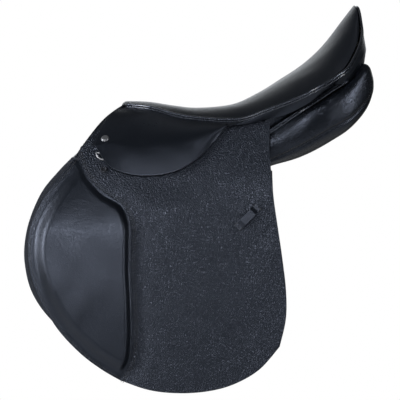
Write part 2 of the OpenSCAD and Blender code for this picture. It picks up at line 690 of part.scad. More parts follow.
// Roundness of a section and the angles of its two sewn channels
panel_round_share = 0.6;
panel_channel_angles = [54, -36];
panel_channel_width = 9;
panel_sides = 20;

function panel_round(c) = sign(c) * pow(abs(c), panel_round_share);
function panel_channel(angle) =
    max([for (c = panel_channel_angles) exp(-pow((angle - c) / panel_channel_width, 2))]);

// Section point at share s along the panel and an angle round it, raised by d over its surface
function panel_at(s, angle, d) =
    let(p = curve_at(panel_shares, s))
    let(half_w = (p[4] - p[3]) * panel_half_w / 2, half_h = p[2] * panel_half_t)
    let(c = panel_round(cos(angle)), k = panel_round(sin(angle)))
    let(x = mix_of(-pommel_reach - panel_nose, seat_len - pommel_reach + panel_tail, p[0]))
    let(mid = [x, -(p[3] + p[4]) * panel_half_w / 2, p[1] * panel_rise])
    let(out = [0, -half_w * c, half_h * k - p[5] * half_w * c])
    mid + out + unit(out) * d;

// The channels fade out where the panel is small
function panel_channel_d(s) = channel_d * min(1, curve_at(panel_shares, s)[2] / panel_round_share);

module panel_left() {
    color(smooth_leather)
        rings_solid([for (s = shares(28)) [for (i = [0:panel_sides - 1])
            let(angle = i * 360 / panel_sides - 180)
            panel_at(s, angle, -panel_channel_d(s) * panel_channel(angle))]]);
}

// Piping along the panel's upper channel, behind the flap
piping_shares = [0.494, 0.785];

module panel_piping_left() {
    lift = piping_r + fit - channel_d / 3;
    path = [for (s = shares(22))
        panel_at(mix_of(piping_shares[0], piping_shares[1], s), panel_channel_angles[0], lift)];
    color(smooth_leather)
        rings_solid(tube_rings(path, piping_r, 6));
}

// Sweat flap: a flat leather sheet, as shares of its length and drop

sweat_outline_shares = [[0.138, 0], [0.07, 0.11], [0.02, 0.26], [0, 0.4], [0.006, 0.52], [0.03, 0.63],
    [0.08, 0.735], [0.16, 0.84], [0.26, 0.92], [0.38, 0.972], [0.52, 1], [0.66, 0.985], [0.79, 0.935],
    [0.89, 0.85], [0.96, 0.72], [0.992, 0.56], [1, 0.38], [0.99, 0.18], [0.984, 0]];

module sweat_flap_left() {
    outline = [for (s = shares(48))
        scaled(curve_at(sweat_outline_shares, s), [sweat_len, -sweat_drop]) - [sweat_reach, sweat_top_drop]];
    color(lining_leather)
        translate([0, -sweat_half_w, 0])
            rotate([90, 0, 0])
                linear_extrude(sweat_t)
                    polygon(outline);
}

// Girth billets in three layers outside the sweat flap, and the webs that carry them

// Distance of the first layer outside the sweat flap from the midline
under_a = sweat_half_w + sweat_t + fit;
billet_pivot_z = -billet_top_drop - billet_w / 2;
hole_count = 6;
function billet_a(i) = under_a + i * (billet_t + fit);
function billet_mid_x(i) = billet_x + i * billet_pitch;

module billet(i) {
    tip_y = billet_w / 2 - billet_len;
    color(lining_leather)
        translate([billet_mid_x(i), -billet_a(i), billet_pivot_z])
            rotate([90, 0, 0])
                linear_extrude(billet_t)
                    difference() {
                        union() {
                            circle(billet_w / 2);
                            polygon([[-billet_w / 2, 0], [-billet_w / 2, tip_y + billet_tip],
                                     [0, tip_y], [billet_w / 2, tip_y + billet_tip], [billet_w / 2, 0]]);
                        }
                        for (k = [0:hole_count - 1])
                            translate([0, tip_y + hole_first + k * hole_pitch])
                                circle(hole_r);
                    }
}

// Way of a web from the tree over the panel, as shares of the first layer's distance and the seat's height
web_way_shares = [[0.46, 0.58], [0.68, 0.56], [0.872, 0.428], [0.98, 0.187]];

module girth_web_left() {
    for (i = [0:2]) {
        way = concat([for (p = web_way_shares) [p[0] * under_a, p[1] * seat_h]],
                     [[billet_a(i), flap_line_z / 2 + web_t], [billet_a(i), fit - billet_top_drop]]);
        outer = [for (s = shares(12)) [for (side = [-1, 0, 1])
            let(p = curve_at(way, s))
            [billet_mid_x(i) + side * billet_w / 2, -p[0] - web_t, p[1]]]];
        color(web_cloth)
            sheet(outer, inward(outer, web_t));
    }
}

// Padded blocks between sweat flap and flap, on the sweat flap

// Middle line of a block, as shares of the sweat flap's length and drop, and its half width as a share
knee_block_shares = [[0.158, 0.126], [0.123, 0.253], [0.108, 0.386], [0.128, 0.519], [0.174, 0.651]];
knee_block_w_share = 0.0557;
thigh_block_shares = [[0.979, 0.253], [0.982, 0.386], [0.986, 0.519], [0.989, 0.64]];
thigh_block_w_share = 0.0243;
// Height of a block at its top, as a share of its fullest height
block_top_share = 0.4;
block_round_share = 0.35;

module block(mid_shares, w_share, h) {
    arc = 9;
    color(smooth_leather)
        rings_solid([for (t = shares(12))
            let(p = curve_at(mid_shares, t))
            let(round = pow(max(nudge_share, 1 - pow(2 * t - 1, 4)), block_round_share))
            [for (k = [0:arc])
                let(angle = 180 * k / arc)
                [(p[0] + cos(angle) * round * w_share) * sweat_len - sweat_reach,
                 -under_a - sin(angle) * round * h * mix_of(block_top_share, 1, step_of(2 * t)),
                 -sweat_top_drop - p[1] * sweat_drop]]]);
}

module knee_block_left() {
    block(knee_block_shares, knee_block_w_share, knee_block_h);
}

module thigh_block_left() {
    block(thigh_block_shares, thigh_block_w_share, thigh_block_h);
}

// Keeper loop on the flap, at a slant, raised between its two sewn ends

keeper_mid_shares = [0.852, 0.1885];
keeper_angle = 45;
keeper_sewn_share = 0.14;

module keeper_left() {
    mid_x = flap_x(keeper_mid_shares[0]);
    mid_z = flap_line_z - keeper_mid_shares[1] * flap_drop;
    along = [cos(keeper_angle), sin(keeper_angle)];
    across = [-sin(keeper_angle), cos(keeper_angle)];
    outer = [for (t = shares(14)) [for (v = [-1, 0, 1])
        let(p = [mid_x, mid_z] + along * (t - 1 / 2) * keeper_len + across * v * keeper_w / 2)
        let(ends = min(t, 1 - t) / keeper_sewn_share)
        [p[0], -flap_low_a(p[0], p[1]) - glue_gap - keeper_gap * step_of(ends - 1) - keeper_t, p[1]]]];
    color(smooth_leather)
        sheet(outer, inward(outer, keeper_t));
}

// Small metal pieces

// Places the children at p with their Z along n
module aimed(p, n) {
    translate(p)
        rotate([0, acos(n[2]), atan2(n[1], n[0])])
            children();
}

flap_top_out = unit([-flap_skew_share, -1, flap_lean_share]);
button_h = button_r / 2;
button_shares = [0.2917, 0.13];
nail_h = nail_r * 3 / 10;
nail_shares = [0.032, 0.9];

module flap_button_left() {
    spot = flap_top_pt(flap_x(button_shares[0]), flap_line_z + button_shares[1] * flap_rise);
    color(steel)
        aimed(spot + flap_top_out * glue_gap, flap_top_out)
            difference() {
                cylinder(h = button_h, r1 = button_r, r2 = button_r * 4 / 5);
                translate([0, 0, button_h / 2])
                    cylinder(h = button_h, r = button_r / 2);
            }
}

module flap_buttons() {
    flap_button_left();
    right_side() flap_button_left();
}

module skirt_nail_left() {
    s = nail_shares[0];
    t = nail_shares[1];
    out = unit(cross(strip_at(s, t + nudge_share) - strip_at(s, t - nudge_share),
                     strip_at(s + nudge_share, t) - strip_at(s - nudge_share, t)));
    color(steel)
        aimed(strip_at(s, t) + out * fit, out)
            cylinder(h = nail_h, r1 = nail_r, r2 = nail_r * 3 / 5);
}

module skirt_nails() {
    skirt_nail_left();
    right_side() skirt_nail_left();
}

// Dee ring and its loop, in the space between flap and skirt

dee_spot = flap_top_pt(-dee_reach, dee_z) - [0, skirt_gap / 2, 0];
dee_ring_r = dee_w / 2 + dee_wire_r;
dee_play = dee_wire_r * 8 / 7;
dee_strap = dee_loop_w * 3 / 5;

// Places the children in the dee ring's plane, with Y up along the flap
module dee_place() {
    translate(dee_spot)
        multmatrix(dee_turn)
            children();
}

// Turn of the dee ring's plane: X along the flap, Z out of it
dee_x_dir = unit(cross([0, 0, 1], flap_top_out) * -1);
dee_y_dir = cross(flap_top_out, dee_x_dir) * -1;
dee_turn = [for (k = [0:2]) [dee_x_dir[k], dee_y_dir[k], cross(dee_x_dir, dee_y_dir)[k], 0]];

module dee_ring_left() {
    color(steel)
        dee_place() {
            rotate([0, 0, 180])
                rotate_extrude(angle = 180)
                    translate([dee_ring_r, 0])
                        circle(dee_wire_r);
            translate([-dee_ring_r - dee_wire_r, 0, 0])
                rotate([0, 90, 0])
                    cylinder(h = 2 * (dee_ring_r + dee_wire_r), r = dee_wire_r);
        }
}

module dee_loop_left() {
    inner_h = 2 * (dee_wire_r + dee_play);
    inner_t = 2 * (dee_wire_r + fit);
    outer_t = inner_t + 2 * dee_loop_t;
    color(smooth_leather)
        dee_place()
            difference() {
                translate([-dee_loop_w / 2, -inner_h / 2 - dee_loop_t, -outer_t / 2])
                    cube([dee_loop_w, inner_h + dee_loop_t + dee_strap, outer_t]);
                translate([-dee_loop_w / 2 - overrun, -inner_h / 2, -inner_t / 2])
                    cube([dee_loop_w + 2 * overrun, inner_h, inner_t]);
            }
}

// Stirrup bar: back plate, neck, bar and the tang that holds the catch

// Distance of the bar's axis from the midline
bar_a = bar_half_w + bar_plate_t + bar_gap + bar_r;
bar_z = bar_plate_z + bar_plate_h * 3 / 10;
bar_neck = 2 * bar_r;
catch_t = bar_r * 17 / 20;
catch_eye_r = 2 * catch_pin_r;
// Running clearance of the catch on its pin
catch_clear = 0.08;
tang_t = bar_r / 2;
catch_x = -bar_reach + bar_plate_len - fit;
bar_end_x = catch_x - catch_eye_r - 2 * fit;
tang_a = bar_a + bar_r - tang_t;
catch_a = tang_a - fit - catch_t;

module stirrup_bar_left() {
    color(steel) {
        translate([-bar_reach, -bar_half_w - bar_plate_t, bar_plate_z])
            cube([bar_plate_len, bar_plate_t, bar_plate_h]);
        translate([-bar_reach, -bar_a, bar_z - bar_r])
            cube([bar_neck, bar_a - bar_half_w - bar_plate_t / 2, 2 * bar_r]);
        translate([-bar_reach, -bar_a, bar_z])
            rotate([0, 90, 0])
                cylinder(h = bar_end_x + bar_reach, r = bar_r);
        translate([bar_end_x - bar_neck / 2, -tang_a - tang_t, bar_z - catch_pin_r])
            cube([catch_x - bar_end_x + bar_neck / 2, tang_t, 2 * catch_pin_r]);
        translate([catch_x, -catch_a + fit, bar_z])
            rotate([90, 0, 0])
                cylinder(h = tang_a + tang_t - catch_a + fit, r = catch_pin_r);
    }
}

module bar_catch_left() {
    color(steel)
        difference() {
            union() {
                translate([catch_x, -catch_a, bar_z])
                    rotate([90, 0, 0])
                        cylinder(h = catch_t, r = catch_eye_r);
                translate([catch_x, -catch_a - catch_t, bar_z - catch_pin_r])
                    cube([catch_len, catch_t, 2 * catch_pin_r]);
            }
            translate([catch_x, -catch_a + overrun, bar_z])
                rotate([90, 0, 0])
                    cylinder(h = catch_t + 2 * overrun, r = catch_pin_r + catch_clear);
        }
}

rivet_r = bar_plate_t;
rivet_h = bar_plate_t * 2 / 5;
rivet_shares = [0.25, 0.75];

module bar_rivets_left() {
    for (share = rivet_shares)
        color(steel)
            translate([share * bar_plate_len - bar_reach, -bar_half_w - bar_plate_t,
                       bar_plate_z + bar_plate_h - rivet_r - fit])
                rotate([90, 0, 0])
                    cylinder(h = rivet_h, r = rivet_r);
}

module bar_rivets() {
    bar_rivets_left();
    right_side() bar_rivets_left();
}

// Tree points run from the head down the outside of the panels
// Way of a point, as shares of the bar's distance from the midline and the seat's height
point_way_shares = [[0.5, 0.66], [0.7, 0.62], [0.88, 0.45], [0.98, 0.23], [1.02, -0.1], [1.03, -0.5]];

module tree_point_left() {
    x0 = -bar_reach - fit - point_w;
    outer = [for (s = shares(12)) [for (side = [0, 1 / 2, 1])
        let(p = curve_at(point_way_shares, s))
        [x0 + side * point_w, -p[0] * bar_half_w, p[1] * seat_h]]];
    color(steel)
        sheet(outer, grid_offset(outer, point_t));
}

// The off side is the mirror image of the near side
module tree_point_right() { right_side() tree_point_left(); }
module tree_spring_right() { right_side() tree_spring_left(); }
module stirrup_bar_right() { right_side() stirrup_bar_left(); }
module bar_catch_right() { right_side() bar_catch_left(); }
module skirt_top_right() { right_side() skirt_top_left(); }
module skirt_right() { right_side() skirt_left(); }
module panel_right() { right_side() panel_left(); }
module panel_piping_right() { right_side() panel_piping_left(); }
module sweat_flap_right() { right_side() sweat_flap_left(); }
module girth_web_right() { right_side() girth_web_left(); }
module flap_top_right() { right_side() flap_top_left(); }
module flap_right() { right_side() flap_left(); }
module flap_cover_right() { right_side() flap_cover_left(); }
module knee_pad_right() { right_side() knee_pad_left(); }
module keeper_right() { right_side() keeper_left(); }
module knee_block_right() { right_side() knee_block_left(); }
module thigh_block_right() { right_side() thigh_block_left(); }
module dee_ring_right() { right_side() dee_ring_left(); }
module dee_loop_right() { right_side() dee_loop_left(); }
module billet_front_left() { billet(0); }
module billet_front_right() { right_side() billet(0); }
module billet_middle_left() { billet(1); }
module billet_middle_right() { right_side() billet(1); }
module billet_rear_left() { billet(2); }
module billet_rear_right() { right_side() billet(2); }

tree_frame();
head_plate();
gullet_plate();
tree_point_left();
tree_point_right();
tree_spring_left();
tree_spring_right();
bar_rivets();
stirrup_bar_left();
stirrup_bar_right();
bar_catch_left();
bar_catch_right();
seat_webbing();
seat_foam();
seat_cover();
seat_welt();
cantle_facing();
pommel_facing();
skirt_top_left();
skirt_top_right();
skirt_left();
skirt_right();
panel_left();
panel_right();
panel_piping_left();
panel_piping_right();
sweat_flap_left();
sweat_flap_right();
girth_web_left();
girth_web_right();
billet_front_left();
billet_middle_left();
billet_rear_left();
billet_front_right();
billet_middle_right();
billet_rear_right();
flap_top_left();
flap_top_right();
flap_left();
flap_right();
flap_cover_left();
flap_cover_right();
knee_pad_left();
knee_pad_right();
keeper_left();
keeper_right();
knee_block_left();
knee_block_right();
thigh_block_left();
thigh_block_right();
dee_ring_left();
dee_ring_right();
dee_loop_left();
dee_loop_right();
skirt_nails();
flap_buttons();
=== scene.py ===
# %% [markdown]
# A jumping saddle in black leather, dressed around its imported CAD model. Every soft or leather piece
# is then modelled again, finer, from the same few curves that shaped its solid, and most of these pieces
# ride on the body that carries them.

# %% Load the frame
import math

import bmesh
import bpy
import numpy as np
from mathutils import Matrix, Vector


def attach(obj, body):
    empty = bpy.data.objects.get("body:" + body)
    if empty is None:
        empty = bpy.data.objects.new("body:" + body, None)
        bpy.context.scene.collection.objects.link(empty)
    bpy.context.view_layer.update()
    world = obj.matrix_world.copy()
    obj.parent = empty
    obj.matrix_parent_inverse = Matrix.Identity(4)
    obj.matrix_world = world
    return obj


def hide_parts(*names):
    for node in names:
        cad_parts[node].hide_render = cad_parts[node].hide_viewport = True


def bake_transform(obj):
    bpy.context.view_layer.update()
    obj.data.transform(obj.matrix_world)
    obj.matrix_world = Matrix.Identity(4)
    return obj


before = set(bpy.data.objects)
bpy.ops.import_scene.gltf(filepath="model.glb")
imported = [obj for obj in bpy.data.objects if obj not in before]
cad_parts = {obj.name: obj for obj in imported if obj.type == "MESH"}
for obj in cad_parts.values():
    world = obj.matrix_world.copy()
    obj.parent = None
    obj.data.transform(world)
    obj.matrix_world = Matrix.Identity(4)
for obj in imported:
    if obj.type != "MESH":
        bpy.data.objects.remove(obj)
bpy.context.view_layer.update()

MM = 0.001
scene = bpy.context.scene

# %% [markdown]
# The camera comes first, because it fixes what the eye will check. The picture is a plain side view
# from about three metres, so a long lens at the height of the flap's upper half repeats it. One pixel
# of the 400 across is 1.52 mm at the saddle's middle plane.

# %% Camera
CAMERA_DISTANCE = 3.0
CAMERA_X, CAMERA_Z = -0.0076, -0.053
PIXEL_SIZE, PICTURE_PIXELS = 1.52 * MM, 400
SENSOR_WIDTH = 36.0

camera_data = bpy.data.cameras.new("camera")
camera_data.sensor_width = SENSOR_WIDTH
camera_data.lens = SENSOR_WIDTH * CAMERA_DISTANCE / (PIXEL_SIZE * PICTURE_PIXELS)
camera = bpy.data.objects.new("camera", camera_data)
camera.location = (CAMERA_X, -CAMERA_DISTANCE, CAMERA_Z)
camera.rotation_euler = (math.radians(90), 0, 0)
scene.collection.objects.link(camera)
scene.camera = camera
print(f"camera: lens {camera_data.lens:.0f} mm")

# %% [markdown]
# Leather work is curves first: a seam, a rim or the edge of a flap is a smooth line through a few
# points, and a leather sheet is a patch between four such lines. These helpers make both as arrays
# of points, so the same line can carry an edge, a row of stitches or a cord of piping. Pieces of a pair
# are drawn for the near side, and SIDES says how each side takes their points.

# %% Curves and patches
def smooth_step(t):
    t = np.clip(t, 0, 1)
    return t * t * (3 - 2 * t)


def curve_at(points, share):
    """Points at the shares along a smooth curve through the given points."""
    p = np.asarray(points, float)
    n = len(p) - 1
    s = np.atleast_1d(np.asarray(share, float)) * n
    k = np.clip(np.floor(s).astype(int), 0, n - 1)
    t = (s - k)[:, None]
    p0, p1 = p[np.maximum(k - 1, 0)], p[k]
    p2, p3 = p[k + 1], p[np.minimum(k + 2, n)]
    bend = (2 * p0 - 5 * p1 + 4 * p2 - p3) * t ** 2 + (3 * p1 - p0 - 3 * p2 + p3) * t ** 3
    return (2 * p1 + (p2 - p0) * t + bend) / 2


def patch_grid(top, bottom, left, right, columns, rows):
    """Grid of points between four edge curves, rows running from top to bottom."""
    s, t = np.asarray(columns)[None, :, None], np.asarray(rows)[:, None, None]
    up, down = curve_at(top, columns)[None], curve_at(bottom, columns)[None]
    fore, aft = curve_at(left, rows)[:, None], curve_at(right, rows)[:, None]
    flat_top, flat_bottom = (line[:, :1] * (1 - s) + line[:, -1:] * s for line in (up, down))
    flat = flat_top * (1 - t) + flat_bottom * t
    return up * (1 - t) + down * t + fore * (1 - s) + aft * s - flat


def unit(vectors):
    return vectors / np.maximum(np.linalg.norm(vectors, axis=-1, keepdims=True), 1e-12)


def grid_normals(grid):
    """Unit normals of a grid of points."""
    return unit(np.cross(np.gradient(grid, axis=0), np.gradient(grid, axis=1)))


def off_side(points):
    """The mirror image of points on the near side."""
    return np.asarray(points) * np.array([1, -1, 1])


SIDES = {"left": np.asarray, "right": off_side}
print("curve helpers ready")

# %% [markdown]
# A leather sheet is modelled as its outer face alone. Blender's Solidify modifier then gives it its
# thickness and Bevel rounds the cut edges, which is where black leather catches the light. A tube
# makes piping, and a lofted skin makes the stuffed pieces. Each ends as a plain mesh at the origin.

# %% Mesh helpers
def new_object(name, vertices, faces, material):
    """Object with a smooth mesh, from vertices in millimetres."""
    mesh = bpy.data.meshes.new(name)
    mesh.from_pydata((np.asarray(vertices, float) * MM).tolist(), [], [list(f) for f in faces])
    mesh.shade_smooth()
    mesh.materials.append(material)
    piece = bpy.data.objects.new(name, mesh)
    scene.collection.objects.link(piece)
    return piece


def apply_modifiers(piece):
    """Turns the piece and its modifiers into one plain mesh."""
    graph = bpy.context.evaluated_depsgraph_get()
    mesh = bpy.data.meshes.new_from_object(piece.evaluated_get(graph))
    piece.modifiers.clear()
    piece.data = mesh
    mesh.name = piece.name
    return piece


def face_outwards(piece):
    """Turns the faces of a closed piece outwards and merges its doubles."""
    work = bmesh.new()
    work.from_mesh(piece.data)
    bmesh.ops.remove_doubles(work, verts=work.verts, dist=1e-6)
    bmesh.ops.dissolve_degenerate(work, edges=work.edges, dist=1e-7)
    bmesh.ops.recalc_face_normals(work, faces=work.faces)
    work.to_mesh(piece.data)
    work.free()
    return piece


def grid_faces(rows, columns, keep=None):
    """Quads of a grid, in one turn; keep is a mask of the cells that stay."""
    index = np.arange(rows * columns).reshape(rows, columns)
    quads = np.stack([index[:-1, :-1], index[1:, :-1], index[1:, 1:], index[:-1, 1:]], axis=-1)
    return quads.reshape(-1, 4) if keep is None else quads[keep]


EDGE_SEGMENTS, EDGE_ANGLE = 3, math.radians(50)


def round_edges(piece, width):
    """Rounds the piece's sharp edges by a width in millimetres and makes it one plain mesh."""
    bevel = piece.modifiers.new("edge", "BEVEL")
    bevel.width = width * MM
    bevel.segments = EDGE_SEGMENTS
    bevel.limit_method = "ANGLE"
    bevel.angle_limit = EDGE_ANGLE
    return apply_modifiers(piece)


def leather_sheet(name, grid, thickness, material, out, keep=None, edge=0.35, lining=None):
    """Sheet of leather whose outer face, seen from out, is the grid; edge is the rounding of its cut
    edges as a share of the thickness."""
    rows, columns = grid.shape[:2]
    faces = grid_faces(rows, columns, keep)
    if (grid_normals(grid).mean(axis=(0, 1)) * out).sum() < 0:
        faces = faces[:, ::-1]
    piece = new_object(name, grid.reshape(-1, 3), faces, material)
    work = bmesh.new()
    work.from_mesh(piece.data)
    bmesh.ops.delete(work, geom=[v for v in work.verts if not v.link_faces], context="VERTS")
    bmesh.ops.remove_doubles(work, verts=work.verts, dist=2e-5)
    work.to_mesh(piece.data)
    work.free()
    solid = piece.modifiers.new("thickness", "SOLIDIFY")
    solid.thickness = thickness * MM
    solid.offset = -1
    if lining:
        piece.data.materials.append(lining)
        solid.material_offset = 1
    return round_edges(piece, thickness * edge)


def loft(name, rings, material):
    """Closed skin through rings of equal count, capped at both ends."""
    rings = np.asarray(rings)
    m, n = rings.shape[:2]
    index = np.arange(m * n).reshape(m, n)
    index = np.hstack([index, index[:, :1]])
    quads = np.stack([index[:-1, :-1], index[:-1, 1:], index[1:, 1:], index[1:, :-1]], axis=-1)
    caps = [list(range(n))[::-1], list(range((m - 1) * n, m * n))]
    faces = quads.reshape(-1, 4).tolist() + caps
    return face_outwards(new_object(name, rings.reshape(-1, 3), faces, material))


def tube_rings(path, radius, sides):
    """Rings of a round cord along a path."""
    along = unit(np.gradient(path, axis=0))
    across = unit(np.cross(along, [0, 0, 1]))
    up = np.cross(across, along)
    angle = np.linspace(0, 2 * np.pi, sides, endpoint=False)[None, :, None]
    return path[:, None] + (across[:, None] * np.cos(angle) + up[:, None] * np.sin(angle)) * radius


def join(name, pieces):
    """One object from several plain ones."""
    with bpy.context.temp_override(active_object=pieces[0], selected_editable_objects=pieces):
        bpy.ops.object.join()
    pieces[0].name = name
    pieces[0].data.name = name
    return pieces[0]


print("mesh helpers ready")

# %% [markdown]
# Black leather is told by its gloss and grain more than by its colour, so two shader groups are shared
# by all of it. One gives the height of the grain: pebbles with creases between them and a fine tooth on
# top, and a mask of the creases, which the leathers paint darker as painted shade. The other gives slow
# patches of handling, where the hide is a little greyer and duller. Both read the object's own
# coordinates, so the grain stays put when a flap is lifted.

# %% Shader groups
def add_node(tree, kind, settings=None, **values):
    """Node of a kind, with its settings and the values of its named inputs."""
    made = tree.nodes.new(kind)
    for key, value in (settings or {}).items():
        setattr(made, key, value)
    for key, value in values.items():
        made.inputs[key.replace("_", " ")].default_value = value
    return made


def object_place(tree):
    """The object's own coordinates."""
    return add_node(tree, "ShaderNodeTexCoord").outputs["Object"]


def calc(tree, operation, *values):
    """Output of a Math node fed by sockets or plain numbers."""
    made = tree.nodes.new("ShaderNodeMath")
    made.operation = operation
    for socket, value in zip(made.inputs, values):
        if isinstance(value, bpy.types.NodeSocket):
            tree.links.new(value, socket)
        else:
            socket.default_value = value
    return made.outputs[0]


def ease(tree, value, low, high):
    """Output of a smooth ramp from 0 at low to 1 at high."""
    made = add_node(tree, "ShaderNodeMapRange", {"interpolation_type": "SMOOTHSTEP"},
                    From_Min=low, From_Max=high)
    tree.links.new(value, made.inputs["Value"])
    return made.outputs["Result"]


def shader_group(name, inputs, outputs):
    """Empty shader group with plain number sockets, and its two ends."""
    group = bpy.data.node_groups.new(name, "ShaderNodeTree")
    for label, value in inputs.items():
        socket = group.interface.new_socket(label, in_out="INPUT", socket_type="NodeSocketFloat")
        socket.default_value = value
    for label in outputs:
        group.interface.new_socket(label, in_out="OUTPUT", socket_type="NodeSocketFloat")
    return group, group.nodes.new("NodeGroupInput"), group.nodes.new("NodeGroupOutput")


def scaled_noise(tree, place, scale, detail=2.0):
    """Factor of a noise texture at a scale that is a socket or a number, per metre."""
    made = add_node(tree, "ShaderNodeTexNoise", Detail=detail)
    tree.links.new(place, made.inputs["Vector"])
    if isinstance(scale, bpy.types.NodeSocket):
        tree.links.new(scale, made.inputs["Scale"])
    else:
        made.inputs["Scale"].default_value = scale
    return made


def make_grain_group():
    group, given, result = shader_group(
        "leather_grain", {"Pebbles": 320.0, "Pebble Height": 1.0, "Tooth": 0.25}, ["Height", "Crease Shade"])
    place = object_place(group)
    bend = scaled_noise(group, place, calc(group, "MULTIPLY", given.outputs["Pebbles"], 0.35))
    centred = add_node(group, "ShaderNodeVectorMath", {"operation": "SUBTRACT"})
    centred.inputs[1].default_value = (0.5, 0.5, 0.5)
    group.links.new(bend.outputs["Color"], centred.inputs[0])
    sway = add_node(group, "ShaderNodeVectorMath", {"operation": "SCALE"})
    group.links.new(centred.outputs[0], sway.inputs[0])
    group.links.new(calc(group, "DIVIDE", 0.9, given.outputs["Pebbles"]), sway.inputs["Scale"])
    moved = add_node(group, "ShaderNodeVectorMath", {"operation": "ADD"})
    group.links.new(place, moved.inputs[0])
    group.links.new(sway.outputs[0], moved.inputs[1])
    cells = add_node(group, "ShaderNodeTexVoronoi", {"feature": "DISTANCE_TO_EDGE"})
    group.links.new(moved.outputs[0], cells.inputs["Vector"])
    group.links.new(given.outputs["Pebbles"], cells.inputs["Scale"])
    pebble = ease(group, cells.outputs["Distance"], 0.0, 0.32)
    tooth = scaled_noise(group, place, calc(group, "MULTIPLY", given.outputs["Pebbles"], 3.0), 3.0)
    raised = calc(group, "MULTIPLY", pebble, given.outputs["Pebble Height"])
    fine = calc(group, "MULTIPLY", tooth.outputs[0], given.outputs["Tooth"])
    group.links.new(calc(group, "ADD", raised, fine), result.inputs["Height"])
    # This second output marks the creases, which the leathers paint darker as painted shade.
    group.links.new(calc(group, "SUBTRACT", 1.0, pebble), result.inputs["Crease Shade"])
    return group


def make_wear_group():
    group, given, result = shader_group("leather_wear", {"Patches": 18.0}, ["Dust", "Gloss"])
    place = object_place(group)
    broad = scaled_noise(group, place, given.outputs["Patches"], 3.0).outputs[0]
    scuff_scale = calc(group, "MULTIPLY", given.outputs["Patches"], 14.0)
    scuff = scaled_noise(group, place, scuff_scale, 4.0).outputs[0]
    dust = calc(group, "MULTIPLY", ease(group, broad, 0.38, 0.72), ease(group, scuff, 0.3, 0.75))
    group.links.new(dust, result.inputs["Dust"])
    group.links.new(calc(group, "SUBTRACT", broad, 0.5), result.inputs["Gloss"])
    return group


grain_group, wear_group = make_grain_group(), make_wear_group()
print("shader groups:", grain_group.name, wear_group.name)

# %% [markdown]
# Each hide is the two groups with its own numbers: the flap is coarsely pebbled with a soft shine, the
# seat and skirts are fine and a little glossier, the knee pads and panels are smooth and supple, and the
# linings are matt. The piping is polished, so it has a coat. Colours are linear and all close to black
# with a slight blue cast, as the picture shows, and so is the tint of their gloss.

# %% Leathers
def new_material(name):
    material = bpy.data.materials.new(name)
    material.use_nodes = True
    return material, material.node_tree, material.node_tree.nodes["Principled BSDF"]


def add_bump(tree, shader, height, distance):
    bump = add_node(tree, "ShaderNodeBump", Strength=1.0, Distance=distance)
    tree.links.new(height, bump.inputs["Height"])
    tree.links.new(bump.outputs["Normal"], shader.inputs["Normal"])


def mix_colour(tree, factor, first, second):
    """Output of a colour mix, by a factor socket, between two colours or sockets."""
    made = add_node(tree, "ShaderNodeMix", {"data_type": "RGBA"})
    tree.links.new(factor, made.inputs[0])
    for socket, value in ((made.inputs[6], first), (made.inputs[7], second)):
        if isinstance(value, bpy.types.NodeSocket):
            tree.links.new(value, socket)
        else:
            socket.default_value = (*value, 1)
    return made.outputs[2]


GLOSS_TINT = (0.68, 0.77, 1.0, 1)
# The first two numbers set how dark the grain's creases are painted and how strongly: a painted shade.
CREASE_SHADE_TONE, CREASE_SHADE_SHARE, DUST_DULLS, GLOSS_SPREAD = 0.45, 0.7, 0.08, -0.09


def leather(name, colour, dusty, roughness, pebbles, pebble_height, tooth, depth, specular=0.65):
    """Leather of a colour that goes dusty in patches, with the creases of its grain painted darker as
    painted shade; depth is the depth of its grain in millimetres.
    """
    material, tree, shader = new_material(name)
    grain = add_node(tree, "ShaderNodeGroup", {"node_tree": grain_group})
    for label, value in (("Pebbles", pebbles), ("Pebble Height", pebble_height), ("Tooth", tooth)):
        grain.inputs[label].default_value = value
    wear = add_node(tree, "ShaderNodeGroup", {"node_tree": wear_group})
    worn = mix_colour(tree, wear.outputs["Dust"], colour, dusty)
    # The grain's creases are painted darker than the hide's colour. This is painted shade, which leaves the
    # pebble tops lighter, as their glints would.
    shaded_crease_colour = tuple(c * CREASE_SHADE_TONE for c in colour)
    painted_crease_shade = calc(tree, "MULTIPLY", grain.outputs["Crease Shade"], CREASE_SHADE_SHARE * pebble_height)
    tree.links.new(mix_colour(tree, painted_crease_shade, worn, shaded_crease_colour), shader.inputs["Base Color"])
    dull = calc(tree, "MULTIPLY", wear.outputs["Dust"], DUST_DULLS)
    shine = calc(tree, "MULTIPLY", wear.outputs["Gloss"], GLOSS_SPREAD)
    rough = calc(tree, "ADD", calc(tree, "ADD", dull, shine), roughness)
    tree.links.new(rough, shader.inputs["Roughness"])
    shader.inputs["Specular IOR Level"].default_value = specular
    shader.inputs["Specular Tint"].default_value = GLOSS_TINT
    add_bump(tree, shader, grain.outputs["Height"], depth * MM)
    return material


grained_leather = leather("grained_leather", (0.0075, 0.0095, 0.0140), (0.010, 0.012, 0.0165),
                          0.37, 320, 1.0, 0.15, 0.55)
smooth_leather = leather("smooth_leather", (0.0042, 0.0055, 0.0082), (0.0075, 0.009, 0.012),
                         0.29, 900, 0.7, 0.35, 0.08)
pad_leather = leather("pad_leather", (0.0046, 0.0062, 0.0092), (0.008, 0.0096, 0.013),
                      0.30, 700, 0.7, 0.35, 0.10)
panel_leather = leather("panel_leather", (0.0044, 0.0056, 0.0078), (0.0075, 0.0088, 0.0115),
                        0.25, 620, 0.8, 0.35, 0.11)
lining_leather = leather("lining_leather", (0.010, 0.0105, 0.012), (0.018, 0.018, 0.020),
                         0.58, 1100, 0.6, 0.5, 0.12)
piping_leather = leather("piping_leather", (0.008, 0.0095, 0.013), (0.012, 0.014, 0.018),
                         0.26, 900, 0.7, 0.35, 0.06, specular=1.0)
piping_leather.node_tree.nodes["Principled BSDF"].inputs["Coat Weight"].default_value = 0.8
print("leathers:", ", ".join(m.name for m in (grained_leather, smooth_leather, pad_leather, panel_leather,
                                              lining_leather, piping_leather)))

